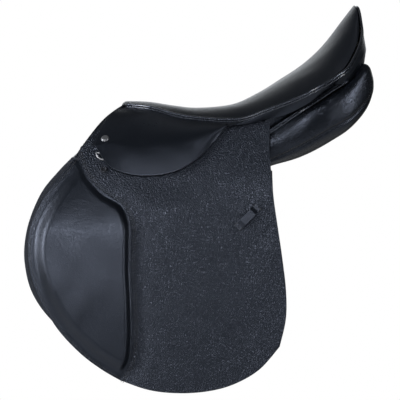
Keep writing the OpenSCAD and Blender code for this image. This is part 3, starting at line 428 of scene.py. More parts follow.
# %% [markdown]
# The other materials are few. Thread has a twist, nickel and forged steel carry fine scratches in their
# gloss, the tree shows the plies of its beech laminate, the foam its pores and the webs their weave.
# Painted textures could show this too, but patterns worked out from the object's coordinates stay sharp at
# any distance and need no picture file.

# %% Thread, metal, wood and cloth
def wave(tree, place, scale, direction, distortion=0.0):
    """Factor of a band texture along an axis, scale in bands per metre over pi."""
    made = add_node(tree, "ShaderNodeTexWave", {"bands_direction": direction},
                    Scale=scale, Distortion=distortion)
    tree.links.new(place, made.inputs["Vector"])
    return made.outputs[1]


def two_tone(name, pattern, dark, light, roughness, depth):
    """Material that a pattern takes from dark to light and raises by a depth in millimetres."""
    material, tree, shader = new_material(name)
    height = pattern(tree, object_place(tree))
    tree.links.new(mix_colour(tree, height, dark, light), shader.inputs["Base Color"])
    shader.inputs["Roughness"].default_value = roughness
    add_bump(tree, shader, height, depth * MM)
    return material


def thread_twist(tree, place):
    return wave(tree, place, 900, "DIAGONAL")


def foam_pores(tree, place):
    cells = add_node(tree, "ShaderNodeTexVoronoi", Scale=650.0)
    tree.links.new(place, cells.inputs["Vector"])
    return ease(tree, cells.outputs["Distance"], 0.15, 0.6)


def web_weave(tree, place):
    return calc(tree, "MULTIPLY", wave(tree, place, 260, "X"), wave(tree, place, 420, "Z"))


def metal(name, colour, roughness, scratches, dents):
    """Metal with fine scratches in its gloss and shallow dents, in millimetres."""
    material, tree, shader = new_material(name)
    place = object_place(tree)
    scratch = scaled_noise(tree, place, 2200, 4.0).outputs[0]
    cloud = scaled_noise(tree, place, 160, 3.0).outputs[0]
    tree.links.new(mix_colour(tree, cloud, tuple(c * 0.8 for c in colour), colour),
                   shader.inputs["Base Color"])
    spread = calc(tree, "MULTIPLY", calc(tree, "SUBTRACT", scratch, 0.5), scratches)
    tree.links.new(calc(tree, "ADD", spread, roughness), shader.inputs["Roughness"])
    shader.inputs["Metallic"].default_value = 1.0
    add_bump(tree, shader, cloud, dents * MM)
    return material


def make_beech():
    material, tree, shader = new_material("beech_laminate")
    place = object_place(tree)
    plies = wave(tree, place, 210, "Z", 2.0)
    fibre = scaled_noise(tree, place, 700, 4.0).outputs[0]
    pale = mix_colour(tree, fibre, (0.36, 0.21, 0.10), (0.55, 0.36, 0.19))
    tree.links.new(mix_colour(tree, ease(tree, plies, 0.75, 1.0), pale, (0.22, 0.12, 0.055)),
                   shader.inputs["Base Color"])
    shader.inputs["Roughness"].default_value = 0.5
    add_bump(tree, shader, fibre, 0.2 * MM)
    return material


def make_button_black():
    material, tree, shader = new_material("black_button")
    place = object_place(tree)
    rub = scaled_noise(tree, place, 900, 3.0).outputs[0]
    tree.links.new(mix_colour(tree, rub, (0.010, 0.010, 0.012), (0.028, 0.029, 0.032)),
                   shader.inputs["Base Color"])
    tree.links.new(calc(tree, "ADD", calc(tree, "MULTIPLY", rub, 0.2), 0.22), shader.inputs["Roughness"])
    shader.inputs["Specular Tint"].default_value = GLOSS_TINT
    add_bump(tree, shader, rub, 0.05 * MM)
    return material


stitch_thread = two_tone("stitch_thread", thread_twist, (0.022, 0.023, 0.026), (0.06, 0.062, 0.068),
                         0.55, 0.1)
foam_material = two_tone("seat_foam", foam_pores, (0.34, 0.31, 0.24), (0.62, 0.58, 0.47), 0.9, 0.4)
webbing_material = two_tone("webbing", web_weave, (0.20, 0.18, 0.13), (0.52, 0.48, 0.38), 0.85, 0.5)
beech_laminate, button_black = make_beech(), make_button_black()
nickel = metal("nickel", (0.40, 0.41, 0.44), 0.42, 0.25, 0.03)
forged_steel = metal("forged_steel", (0.36, 0.37, 0.39), 0.40, 0.3, 0.12)
print("other materials ready")

# %% [markdown]
# Pieces that stay as CAD solids are the hard ones and the flat cut straps: the tree and its steel, the
# stirrup bars and catches, the dee rings, and the billets. They could be modelled again, but their solids
# are already as fine as the eye needs, so they only change their material.

# %% Materials of the CAD solids
BILLETS = [f"billet_{place}_{side}" for place in ("front", "middle", "rear") for side in SIDES]
solid_finish = {"tree_frame": beech_laminate, "seat_webbing": webbing_material, "head_plate": forged_steel,
                "gullet_plate": forged_steel, "bar_rivets": forged_steel}
for side in SIDES:
    for stem in ("tree_spring", "tree_point", "stirrup_bar", "bar_catch"):
        solid_finish[f"{stem}_{side}"] = forged_steel
    solid_finish[f"dee_ring_{side}"] = nickel
    solid_finish[f"dee_loop_{side}"] = smooth_leather
for name in BILLETS:
    solid_finish[name] = lining_leather
for name, finish in solid_finish.items():
    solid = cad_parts[name]
    solid.data.materials.clear()
    solid.data.materials.append(finish)
print("solids with new finishes:", len(solid_finish))

# %% [markdown]
# The seat is a midline curve, a rim curve, and a skin whose sides fall away between them. All sizes from
# here on are millimetres, the same as in the solids: a curve is a table of shares times a few lengths.
# The rim also carries the piping, the skirts and the facing of the cantle, so it gets its own helpers.

# %% Seat curves
SEAT_LENGTH, POMMEL_REACH, SEAT_HALF_WIDTH = 355, 124, 132
SEAT_HEIGHT, CANTLE_RISE, SEAT_FALL = 87, 155, 2.5
SEAT_COVER, SEAT_FOAM, SEAM_GAP = 2.5, 12.0, 0.9
WELT_RADIUS = 2.2

SEAT_MIDLINE = [[0, .065], [.101, .058], [.208, .023], [.321, 0], [.462, .035], [.575, .148], [.673, .285],
                [.749, .398], [.814, .522], [.87, .658], [.929, .838], [.984, 1]]
SEAT_RIM = [[.014, .265, .032], [.118, .47, 0], [.223, .545, -.071], [.327, .606, -.11],
            [.493, .742, -.126], [.617, .871, -.035], [.738, .97, .071], [.82, 1, .174],
            [.882, .955, .271], [.93, .871, .368], [.98, .67, .59], [.997, .455, .755]]


def seat_points(shares):
    """Near-side points from shares of the seat's length, half width and the cantle's rise."""
    s = np.asarray(shares, float)
    return np.stack([s[:, 0] * SEAT_LENGTH - POMMEL_REACH, -s[:, 1] * SEAT_HALF_WIDTH,
                     SEAT_HEIGHT + s[:, 2] * CANTLE_RISE], axis=1)


def seat_at(u, v):
    """Seat points at shares u from pommel to cantle and v from the midline, 1 on the near side."""
    u, v = np.broadcast_arrays(np.asarray(u, float), np.asarray(v, float))
    mid = curve_at(seat_points([[p[0], 0, p[1]] for p in SEAT_MIDLINE]), u.ravel())
    rim = curve_at(seat_points(SEAT_RIM), u.ravel())
    w = np.abs(v.ravel())
    points = np.stack([mid[:, 0] + (rim[:, 0] - mid[:, 0]) * w, v.ravel() * rim[:, 1],
                       mid[:, 2] + (rim[:, 2] - mid[:, 2]) * w ** SEAT_FALL], axis=1)
    return points.reshape(u.shape + (3,))


RIM_SIDE, RIM_NUDGE = 0.42, 0.012
WELT_WAY, HANG_WAY = (0.85, 0.53), (0.3, 0.954)


def rim_at(k):
    """Rim points walked from the near pommel over the cantle to the far pommel."""
    k = np.asarray(k, float)
    u = np.clip(np.minimum(k, 1 - k) / RIM_SIDE, 0, 1)
    v = np.clip(1 - 2 * (k - RIM_SIDE) / (1 - 2 * RIM_SIDE), -1, 1)
    return seat_at(u, v)


def rim_directions(k):
    """Level direction out of the rim, and the direction down that is square to the rim."""
    ahead = unit(rim_at(np.clip(k + RIM_NUDGE, 0, 1)) - rim_at(np.clip(k - RIM_NUDGE, 0, 1)))
    out = unit(np.cross(ahead, [0, 0, 1]))
    return out, np.cross(ahead, out)


def beside_rim(k, way):
    """Direction away from the rim, as shares of the two directions out of it and down from it."""
    out, down = rim_directions(k)
    return out * way[0] + down * way[1]


def rim_welt(k):
    """Middle of the piping beside the rim."""
    aside = beside_rim(k, WELT_WAY)
    reach = SEAM_GAP + WELT_RADIUS + SEAT_COVER * np.maximum(0, aside[:, :1])
    return rim_at(k) + aside * reach


def rim_hang(k):
    """Line under the piping from which skirts and facings hang."""
    return rim_welt(k) + beside_rim(k, HANG_WAY) * (WELT_RADIUS + SEAM_GAP * 1.5)


print("seat curves ready; cantle top at", np.round(seat_at(1, 0), 1))

# %% [markdown]
# The seat's leather is drawn tight over its foam, so it is a smooth crowned skin that rolls over at the
# pommel. Its rim is piped with two cords, a thick one above and a thin one below, which show as a double
# line round the whole seat and go over the roll with it. The skin could be draped by a simulation, but
# then its rim would wander off the piping that is sewn to it, so it is worked out from the two curves.

# %% Seat and piping
def noise_bumps(points, size, height):
    """Slow, repeatable unevenness up to a height either way, with bumps of about a size."""
    p = np.asarray(points) / size
    x, y, z = p[..., 0], p[..., 1], p[..., 2]
    waves = (np.sin(1.7 * x + 0.9 * y + 2.1 * np.sin(0.7 * z + y))
             + np.sin(1.3 * z - 1.1 * x + 1.7 * np.sin(0.9 * x))
             + np.sin(1.9 * y + 0.8 * z + 1.3 * np.sin(1.1 * y + 0.4 * x)))
    return height * (waves / 3)


ROLL_RADIUS, ROLL_START, ROLL_STEP, ROLL_NUDGE, ROLL_NARROWING = 8.0, 0.02, 0.01, 0.02, 0.45
UP, REARWARD, FORWARD = np.array([0, 0, 1]), np.array([1, 0, 0]), np.array([-1, 0, 0])


def front_roll(v, turns):
    """Points where the seat's leather rolls over the pommel, at turns from the top in radians."""
    start = seat_at(ROLL_START, v)
    ahead = unit(start - seat_at(ROLL_START + ROLL_STEP, v))
    across = unit(seat_at(ROLL_START, np.clip(v + ROLL_NUDGE, -1, 1))
                  - seat_at(ROLL_START, np.clip(v - ROLL_NUDGE, -1, 1)))
    radius = ROLL_RADIUS * (1 - ROLL_NARROWING * v ** 2)[None, :, None]
    turn = np.asarray(turns)[:, None, None]
    return start + radius * (ahead * np.sin(turn) - np.cross(ahead, across) * (1 - np.cos(turn)))


seat_v = np.linspace(1, -1, 121)
seat_body = seat_at(np.linspace(ROLL_START, 1, 148)[:, None], seat_v[None])
seat_grid = np.concatenate([front_roll(seat_v, np.radians(np.linspace(110, 6, 14))), seat_body])
seat_bumps = noise_bumps(seat_grid, size=22.0, height=0.25)
seat_grid = seat_grid + grid_normals(seat_grid) * seat_bumps[..., None]
seat = leather_sheet("seat", seat_grid, SEAT_COVER, smooth_leather, UP, lining=lining_leather)
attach(seat, "root")
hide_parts("seat_cover")

foam_grid = seat_at(np.linspace(0.02, 0.94, 90)[:, None], np.linspace(0.93, -0.93, 71)[None])
foam_grid = foam_grid - grid_normals(foam_grid) * (SEAT_COVER + SEAM_GAP)
foam = leather_sheet("seat_filling", foam_grid, SEAT_FOAM, foam_material, UP, edge=0.4)
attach(foam, "root")
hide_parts("seat_foam")

ROLL_TURNS = np.radians([100, 85, 70, 55, 40, 25, 12])
welt_k = np.linspace(ROLL_START * RIM_SIDE, 1 - ROLL_START * RIM_SIDE, 420)
roll_edge = front_roll(np.array([1.0]), ROLL_TURNS)[:, 0] - rim_at(welt_k[:1])


def round_the_rim(offset):
    """Path beside the rim, at an offset for each point of it, carried on over the two front rolls."""
    path = rim_at(welt_k) + offset
    return np.vstack([roll_edge + path[0], path, off_side(roll_edge)[::-1] + path[-1]])


UPPER_INSET, LOWER_DROP, LOWER_RADIUS = 0.8, 2.9, 1.2
welt_middle = rim_welt(welt_k) - rim_at(welt_k)
upper_path = round_the_rim(welt_middle - beside_rim(welt_k, WELT_WAY) * UPPER_INSET)
lower_path = round_the_rim(welt_middle + beside_rim(welt_k, HANG_WAY) * LOWER_DROP)
welt = join("seat_piping", [loft("welt_upper", tube_rings(upper_path, WELT_RADIUS, 16), piping_leather),
                            loft("welt_lower", tube_rings(lower_path, LOWER_RADIUS, 12), piping_leather)])
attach(welt, "root")
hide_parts("seat_welt")
print("seat:", len(seat.data.vertices), "vertices; piping:", len(welt.data.vertices))

# %% [markdown]
# A skirt is one hide from the seat's piping to its lower edge. Its upper strip is fixed to the tree and
# runs back in a narrow tail, and its lower part can be lifted off the stirrup bar. The two meet on the
# lifting line, so the hide is rounded over there. The solids' flap lies under it, so the flap's slope
# comes first.

# %% Skirts
FLAP_LENGTH, FLAP_REACH, FLAP_DROP, FLAP_RISE, FLAP_TUCK = 374, 257, 312, 79, 14
FLAP_LINE, FLAP_HALF_WIDTH, FLAP_BOW = -19, 134, 150
SKIRT_LENGTH, SKIRT_REACH, SKIRT_DEPTH, SKIRT_DROP = 197, 163, 73, 17
SKIRT_THICKNESS, SKIRT_GAP, SKIRT_EDGE_GAP, SKIRT_SWELL, SKIRT_BOW = 3.2, 6.2, 2.6, 1.6, 11
SKIRT_LINE = np.array([[.01, .603], [1, 1]])
SKIRT_EDGE = [[.01, .603], [.041, .474], [.089, .277], [.148, .133], [.241, .045], [.34, 0], [.438, 0],
              [.538, .034], [.636, .114], [.722, .24], [.801, .399], [.866, .595], [.933, .81], [1, 1]]
SKIRT_TAIL = [[.532, .816, -.181], [.617, .822, -.134], [.693, .894, -.088], [.786, .955, .026],
              [.873, .932, .187]]
TUCK_START, TUCK_SPAN, TUCK_FRONT, TUCK_FADE = 0.595, 0.405, -110, 24.67
LINE_SPREAD, TOP_SLOPE = 0.06, 0.45
NARROW_START, NARROW_SPAN = 0.07, 0.25


def flap_line_reach(x):
    return FLAP_HALF_WIDTH + LINE_SPREAD * x


def flap_top_reach(x, z):
    """Distance from the midline of the flap's fixed top, which tucks in under the skirt at the pommel."""
    high = np.maximum(0, ((z - FLAP_LINE) / FLAP_RISE - TUCK_START) / TUCK_SPAN)
    tuck = FLAP_TUCK * high ** 2 * smooth_step((TUCK_FRONT - x) / TUCK_FADE)
    return flap_line_reach(x) - TOP_SLOPE * (z - FLAP_LINE) - tuck


def skirt_points(shares, w):
    """Skirt points at shares of its length and depth; w runs from the lifting line to the edge."""
    x = shares[..., 0] * SKIRT_LENGTH - SKIRT_REACH
    z = shares[..., 1] * SKIRT_DEPTH - SKIRT_DROP
    narrow = smooth_step((shares[..., 0] - NARROW_START) / NARROW_SPAN)
    gap = SKIRT_GAP + (SKIRT_EDGE_GAP - SKIRT_GAP) * w * narrow + SKIRT_SWELL * np.sin(w * np.pi) * narrow
    return np.stack([x, -flap_top_reach(x, z) - gap - SKIRT_THICKNESS, z], axis=-1)


def skirt_line(s):
    s = np.asarray(s)[:, None]
    return skirt_points(SKIRT_LINE[0] * (1 - s) + SKIRT_LINE[1] * s, np.zeros(len(s)))


STRIP_STEPS, STRIP_RIM_END = 10, 0.305
FRONT_BOW = np.array([-0.35, 0, 0.94])
strip_share = np.linspace(0, 1, STRIP_STEPS + 1)
strip_rim = rim_hang(np.linspace(0, 1, 2 * STRIP_STEPS + 1) * STRIP_RIM_END)
strip_tail = np.vstack([skirt_line([1.0]), seat_points(SKIRT_TAIL)])
strip_low = np.vstack([skirt_line(strip_share), curve_at(strip_tail, strip_share[1:])])


def strip_at(s, t):
    """Strip points at shares s from front to tail and t from the piping down."""
    s, t = np.broadcast_arrays(np.asarray(s, float), np.asarray(t, float))
    top, low = curve_at(strip_rim, s.ravel()), curve_at(strip_low, s.ravel())
    share = t.ravel()[:, None]
    bow = SKIRT_BOW * np.sin(share * np.pi) * (1 - s.ravel()[:, None]) ** 4
    return (top + (low - top) * share + bow * FRONT_BOW).reshape(s.shape + (3,))


def smooth_rows(grid, weight, rounds):
    """Grid with each column eased by its neighbours up and down, as far as the weights allow."""
    grid = grid.copy()
    for _ in range(rounds):
        middle = (grid[:-2] + grid[2:]) / 2
        grid[1:-1] += (middle - grid[1:-1]) * weight[1:-1, :, None]
    return grid


STRIP_ROWS, LOWER_ROWS, LINE_COLUMNS, TAIL_COLUMNS = 22, 34, 130, 70
line_share = np.linspace(0, 1, LINE_COLUMNS)
strip_s = np.concatenate([line_share / 2, np.linspace(0.5, 1, TAIL_COLUMNS + 1)[1:]])
upper = strip_at(strip_s[None], np.linspace(0, 1, STRIP_ROWS)[:, None])
fall = np.linspace(0, 1, LOWER_ROWS + 1)[1:, None, None]
on_line = SKIRT_LINE[0] * (1 - line_share[:, None]) + SKIRT_LINE[1] * line_share[:, None]
on_edge = curve_at(SKIRT_EDGE, line_share)
lower = skirt_points(on_line[None] * (1 - fall) + on_edge[None] * fall, fall[..., 0])
lower = np.concatenate([lower, np.repeat(lower[:, -1:], TAIL_COLUMNS, axis=1)], axis=1)
skirt_grid = np.concatenate([upper, lower])
skirt_keep = np.ones((len(skirt_grid) - 1, len(strip_s) - 1), bool)
skirt_keep[STRIP_ROWS - 1:, LINE_COLUMNS - 1:] = False
ROUND_ROWS, ROUND_FROM, ROUND_FADE, ROUND_END_COLUMNS, ROUND_WEIGHT, ROUNDS = 7.0, -132, 40, 24, 0.9, 60
row_rounding = np.exp(-((np.arange(len(skirt_grid)) - STRIP_ROWS + 1) / ROUND_ROWS) ** 2)[:, None]
column_rounding = smooth_step((skirt_grid[STRIP_ROWS - 1, :, 0] - ROUND_FROM) / ROUND_FADE)
column_rounding[LINE_COLUMNS:] = 0
past_end = np.arange(len(strip_s)) - LINE_COLUMNS + ROUND_END_COLUMNS + 2
column_rounding *= 1 - smooth_step(past_end / ROUND_END_COLUMNS)
skirt_grid = smooth_rows(skirt_grid, ROUND_WEIGHT * row_rounding * column_rounding[None], ROUNDS)
skirt_grid[..., 1] -= noise_bumps(skirt_grid, size=17.0, height=0.3)

SKIRT_HINGE = np.array([-63.5, -112.36, 41.5])
SKIRT_AXIS = np.array([-0.989116, -0.006794, -0.14698])
SKIRT_FALL = (0, -0.41, -0.91)
skirt_out = np.array([0, -1, 0.6])
skirt_drop_way = unit(np.cross(SKIRT_AXIS, np.cross(SKIRT_FALL, SKIRT_AXIS)))
for side, mirror in SIDES.items():
    skirt = leather_sheet(f"skirt_hide_{side}", mirror(skirt_grid), SKIRT_THICKNESS, smooth_leather,
                          mirror(skirt_out), skirt_keep, edge=0.48, lining=lining_leather)
    tuple(mirror(SKIRT_HINGE + skirt_drop_way * 2.5) * MM)
    tuple(mirror(SKIRT_HINGE + skirt_drop_way * 15) * MM)
    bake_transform(skirt)
    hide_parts(f"skirt_{side}", f"skirt_top_{side}")
    print(f"{side} skirt:", len(skirt.data.vertices), "vertices")

# %% [markdown]
# The flap is three layers: a lining hide over its whole outline, the grained hide behind the seam, and
# the smooth knee pad in front of it. In the solids the fixed top and the lifting flap meet on a line.
# The real hide runs over that line in one piece, so here the two slopes are eased into each other.

# %% Flap curves
FLAP_FRONT = [[.12, 0], [.052, .115], [.01, .233], [0, .345], [.013, .455], [.044, .5625]]
FLAP_TOE = [[.044, .5625], [.115, .702], [.199, .811], [.28, .886], [.359, .942]]
FLAP_SEAM = [[.23, 0], [.29, .075], [.366, .132], [.4, .225], [.402, .33], [.402, .44], [.407, .55],
             [.41, .65], [.41, .75], [.4, .855], [.359, .942]]
FLAP_HEM = [[.359, .942], [.48, .987], [.605, 1], [.721, .987], [.815, .951], [.9, .888], [.974, .787]]
FLAP_REAR = [[.945, 0], [.953, .11], [.967, .23], [.985, .38], [.999, .53], [.998, .66], [.974, .787]]
TOP_FRONT = [[.12, 0], [.155, .19], [.186, .41], [.2134, .61], [.2356, .763], [.258, .915]]
TOP_EDGE = [[.258, .915], [.314, .83], [.372, .715], [.5, .73], [.65, .86], [.8, .98], [.942, 1.09]]
TOP_REAR = [[.945, 0], [.94, .3], [.938, .65], [.942, 1.09]]
TOP_SEAM = [[.23, 0], [.203, .257], [.189, .424], [.2134, .61], [.2356, .763], [.258, .915]]
PAD_TOP_FRONT = [[.12, 0], [.155, .19], [.189, .424]]
LINE_FRONT, LINE_REAR = [[.12, 0], [.23, 0]], [[.23, 0], [.945, 0]]
COVER_THICKNESS, BACKING_THICKNESS, PAD_HEIGHT, PAD_EDGE = 1.9, 2.0, 12, 0.5
FLAP_EASE, FLARE_FRONT, FLARE_REAR = 3.0, 0.3, 0.12
CUT_OUT_X, CUT_OUT_Z, CUT_OUT_SLANT = (-118, -12), (0, 38), 26
TOP_POINTS, LOW_POINTS = 60, 240
SWELL_HEIGHT, SWELL_RISE, SWELL_FADE, SWELL_DEPTH = 6.5, (0, 34), (45, 170), (25, 70)
CROWN_FRONT, CROWN_SEAM, CROWN_DEPTH = (7, 27), (3, 11.5), (-5, 105)
DIP, DIP_SEAM = 1.3, (2, 10)


def flap_reach(x, z):
    """Distance of the flap's face from the midline, with its two slopes eased into each other."""
    flare = FLARE_FRONT + (FLARE_REAR - FLARE_FRONT) * (x + FLAP_REACH) / FLAP_LENGTH
    low = flap_line_reach(x) + flare * FLAP_BOW * (1 - np.exp((z - FLAP_LINE) / FLAP_BOW))
    top = flap_top_reach(x, z)
    return np.minimum(low, top) - FLAP_EASE * np.log1p(np.exp(-np.abs(low - top) / FLAP_EASE))


def flap_place(shares, depth):
    """Points on the flap's face at shares of its length and of a depth below the lifting line."""
    x = shares[..., 0] * FLAP_LENGTH - FLAP_REACH
    z = FLAP_LINE - shares[..., 1] * depth
    return np.stack([x, -flap_reach(x, z), z], axis=-1)


def flap_grid(top_edges, low_edges, columns, top_rows, low_rows):
    """Grid from the flap's upper edge over the lifting line to its hem; edges are in the order line, far
    edge, front, rear."""
    top = patch_grid(*top_edges, columns, top_rows)
    low = patch_grid(*low_edges, columns, low_rows)
    return np.concatenate([flap_place(top[::-1], -FLAP_RISE), flap_place(low[1:], FLAP_DROP)])


def hold_open(grid):
    """Mask of the cells outside the cut-out over the stirrup bar. Its low rear corner slants, so that the
    skirt hides it."""
    middle = (grid[:-1, :-1] + grid[1:, 1:]) / 2
    x, z = middle[..., 0], middle[..., 2]
    inside = (x > CUT_OUT_X[0]) & (x < CUT_OUT_X[1]) & (z > CUT_OUT_Z[0]) & (z < CUT_OUT_Z[1])
    return ~(inside & (z - x > CUT_OUT_SLANT))


def ramp(value, low, high):
    return smooth_step((value - low) / (high - low))


def flap_line_of(top, low):
    """Flat line down a curve of the flap's fixed top and then one of its lower part, in x and z."""
    start = [-FLAP_REACH, FLAP_LINE]
    upper = curve_at(top, np.linspace(1, 0, TOP_POINTS)) * [FLAP_LENGTH, FLAP_RISE] + start
    lower = curve_at(low, np.linspace(0, 1, LOW_POINTS)[1:]) * [FLAP_LENGTH, -FLAP_DROP] + start
    return np.concatenate([upper, lower])


def far_from(grid, line):
    """Distance of grid points from a flat line, seen from the side."""
    flat = grid[..., ::2].reshape(-1, 1, 2)
    return np.linalg.norm(flat - line[None], axis=2).min(axis=1).reshape(grid.shape[:2])


def seam_swell(distance, z):
    """Swelling of the grained hide where it comes off the knee pad."""
    rise, fade = ramp(distance, *SWELL_RISE), 1 - ramp(distance, *SWELL_FADE)
    return SWELL_HEIGHT * rise * fade * ramp(-z, *SWELL_DEPTH)


seam_line = flap_line_of(TOP_SEAM[:3], FLAP_SEAM)
toe_line = flap_line_of(PAD_TOP_FRONT, FLAP_TOE)[TOP_POINTS:]
front_line = np.concatenate([flap_line_of(PAD_TOP_FRONT, FLAP_FRONT), toe_line])
rear_edges = ([LINE_REAR, TOP_EDGE, TOP_SEAM, TOP_REAR], [LINE_REAR, FLAP_HEM, FLAP_SEAM, FLAP_REAR])
cover_grid = flap_grid(*rear_edges, np.linspace(0, 1, 110), np.linspace(0, 1, 40), np.linspace(0, 1, 120))
cover_swell = seam_swell(far_from(cover_grid, seam_line), cover_grid[..., 2])
cover_grid[..., 1] -= noise_bumps(cover_grid, size=26.0, height=0.5) + cover_swell
print("grained hide:", cover_grid.shape[:2], "points")

# %% [markdown]
# The knee pad's crown climbs quickly inside a flat stitched border, keeps a broad plateau, and fades out
# towards the top, where the pad runs under the skirt. Near the seam it dips a little below the grained
# hide, whose cut edge lies on it. The pad could be sculpted, but a crown that follows the distance from
# its edges keeps the border even.

# %% Flap pieces
def closed_sheet(name, outer, inner, material):
    """Closed piece between two grids of equal size, with rounded edges."""
    rows, columns = outer.shape[:2]
    count = rows * columns
    faces = grid_faces(rows, columns)
    index = np.arange(count).reshape(rows, columns)
    rim = np.concatenate([index[0, :-1], index[:-1, -1], index[-1, :0:-1], index[:0:-1, 0]])
    ahead = np.roll(rim, -1)
    walls = np.stack([rim, ahead, ahead + count, rim + count], axis=1)
    vertices = np.concatenate([outer.reshape(-1, 3), inner.reshape(-1, 3)])
    faces = np.concatenate([faces, faces[:, ::-1] + count, walls])
    piece = new_object(name, vertices, faces.tolist(), material)
    return round_edges(face_outwards(piece), PAD_EDGE)


front_low_edges = [LINE_FRONT, FLAP_TOE, FLAP_FRONT, FLAP_SEAM]
pad_base = flap_grid([LINE_FRONT, TOP_SEAM[2:3] * 2, PAD_TOP_FRONT, TOP_SEAM[:3]], front_low_edges,
                     np.linspace(0, 0.992, 84), np.linspace(0, 0.97, 22), np.linspace(0, 1, 120))
from_seam, from_front = far_from(pad_base, seam_line), far_from(pad_base, front_line)
crown = ramp(from_front, *CROWN_FRONT) * ramp(from_seam, *CROWN_SEAM)
crown = crown * ramp(-pad_base[..., 2], *CROWN_DEPTH)
dip = DIP * (1 - ramp(from_seam, *DIP_SEAM))
pad_outer = pad_base.copy()
pad_bumps = noise_bumps(pad_base, size=19.0, height=0.35)
pad_outer[..., 1] -= PAD_HEIGHT * crown - dip + pad_bumps * (0.3 + crown)
pad_inner = pad_base + np.array([0, COVER_THICKNESS, 0])

backing_rows = (np.linspace(0, 1, 40), np.linspace(0, 1, 90))
backing_front = flap_grid([LINE_FRONT, TOP_EDGE[:1] * 2, TOP_FRONT, TOP_SEAM], front_low_edges,
                          np.linspace(0, 1, 40), *backing_rows)
backing_rear = flap_grid(*rear_edges, np.linspace(0, 1, 70), *backing_rows)
backing_grid = np.concatenate([backing_front, backing_rear[:, 1:]], axis=1)
backing_grid[..., 1] += COVER_THICKNESS + 0.2

FOLD_START, FOLD_END = np.array([0, -134, -17]), np.array([0, -134, -34])
flap_out = np.array([0, -1, 0])


def bend_with_flap(piece, side):
    """Bakes the piece's placement into its mesh."""
    mirror = SIDES[side]
    tuple(mirror(FOLD_START) * MM)
    tuple(mirror(FOLD_END) * MM)
    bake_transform(piece)


for side, mirror in SIDES.items():
    cover = leather_sheet(f"flap_hide_{side}", mirror(cover_grid), COVER_THICKNESS, grained_leather,
                          mirror(flap_out), hold_open(cover_grid), edge=0.45, lining=lining_leather)
    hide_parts(f"flap_cover_{side}", f"flap_top_{side}")
    backing = leather_sheet(f"flap_lining_{side}", mirror(backing_grid), BACKING_THICKNESS, lining_leather,
                            mirror(flap_out), hold_open(backing_grid))
    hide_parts(f"flap_{side}")
    pad = closed_sheet(f"knee_pad_cushion_{side}", mirror(pad_outer), mirror(pad_inner), pad_leather)
    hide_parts(f"knee_pad_{side}")
    for piece in (cover, backing, pad):
        bend_with_flap(piece, side)
    print(f"{side} flap:", [len(p.data.vertices) for p in (cover, backing, pad)], "vertices")

# %% [markdown]
# Two facings close the ends of the seat. The one behind the cantle runs from the piping down to the
# panels and tucks in under itself, and the one under the pommel spans the arch over the withers. A
# lining hides the tree between the panels' rear ends, and two cheeks close the gap between the pommel's
# facing and the front edges of the skirts. Each is a sheet stretched between two lines, as the real one is
# pulled over the tree by its edges.

# %% Facings
CANTLE_EDGE = [[.886, .92, .18], [.952, .83, .3], [1.003, .67, .46], [1.025, .455, .545], [1.025, .23, .5],
               [1.02, 0, .43]]
CANTLE_TUCK = [[190, -100, 97], [212, -90, 118], [229, -80, 140], [236, -58, 142], [236, -34, 146],
               [235, 0, 147]]
TUCK_ENDS, FACING_START, FACING_SPAN = 0.12, 0.31, 0.38
POMMEL_ARCH = [[-.153, .73, -.381], [-.105, .53, -.265], [-.06, .265, -.161], [-.0225, 0, -.123]]
POMMEL_BOW, POMMEL_TURN, POMMEL_GAP = 6.6, math.radians(85), 0.4
CORNER_INSET = np.array([3.5, 0, 1.5])
LINING_X, LINING_Z, LINING_LEAN, LINING_DROP, LINING_HALF_WIDTH, LINING_THICKNESS = 235, 150, 23, 62, 50, 2.0
CHEEK_THICKNESS, CHEEK_POINTS, CHEEK_START = 1.8, 50, 0.012
UNDER_SKIRT, BEHIND_POMMEL = np.array([0, 2.2, 0]), np.array([1.8, 1.0, 0])


def both_sides(points):
    """A line on the near side up to the midline, carried on down the far side."""
    return np.vstack([points, off_side(points)[-2::-1]])


facing_s, facing_t = np.linspace(0, 1, 160), np.linspace(0, 1, 26)[:, None, None]
facing_top = rim_hang(FACING_START + facing_s * FACING_SPAN)
facing_low = curve_at(both_sides(seat_points(CANTLE_EDGE)), facing_s)
cantle_grid = facing_top[None] * (1 - facing_t) + facing_low[None] * facing_t
facing_tuck = curve_at(both_sides(np.array(CANTLE_TUCK, float)), facing_s)
tuck_fade = smooth_step(np.minimum(facing_s, 1 - facing_s) / TUCK_ENDS)
tuck_t = np.linspace(0, 1, 10)[1:, None, None] * tuck_fade[:, None]
cantle_grid = np.concatenate([cantle_grid, facing_low[None] * (1 - tuck_t) + facing_tuck[None] * tuck_t])
cantle = leather_sheet("cantle_back", cantle_grid, SKIRT_THICKNESS, smooth_leather, REARWARD,
                       lining=lining_leather)

pommel_v = np.linspace(1, -1, 41)
corner_share = pommel_v[:, None] ** 4
pommel_top = front_roll(pommel_v, [POMMEL_TURN])[0] + np.array([SEAT_COVER + POMMEL_GAP, 0, 0])
pommel_corner = seat_at(0, pommel_v) - CORNER_INSET
pommel_top = pommel_top * (1 - corner_share) + pommel_corner * corner_share
pommel_arch = both_sides(seat_points(POMMEL_ARCH))
side_t = np.linspace(0, 1, 13)[:, None]
pommel_side = (pommel_top[:1] * (1 - side_t) + pommel_arch[:1] * side_t
               + FRONT_BOW * POMMEL_BOW * np.sin(side_t * np.pi))
pommel_grid = patch_grid(pommel_top, pommel_arch, pommel_side, off_side(pommel_side),
                         np.linspace(0, 1, 90), np.linspace(0, 1, 36))
pommel = leather_sheet("pommel_front", pommel_grid, SKIRT_THICKNESS, smooth_leather, FORWARD,
                       lining=lining_leather)
for piece, node_name in ((cantle, "cantle_facing"), (pommel, "pommel_facing")):
    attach(piece, "root")
    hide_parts(node_name)

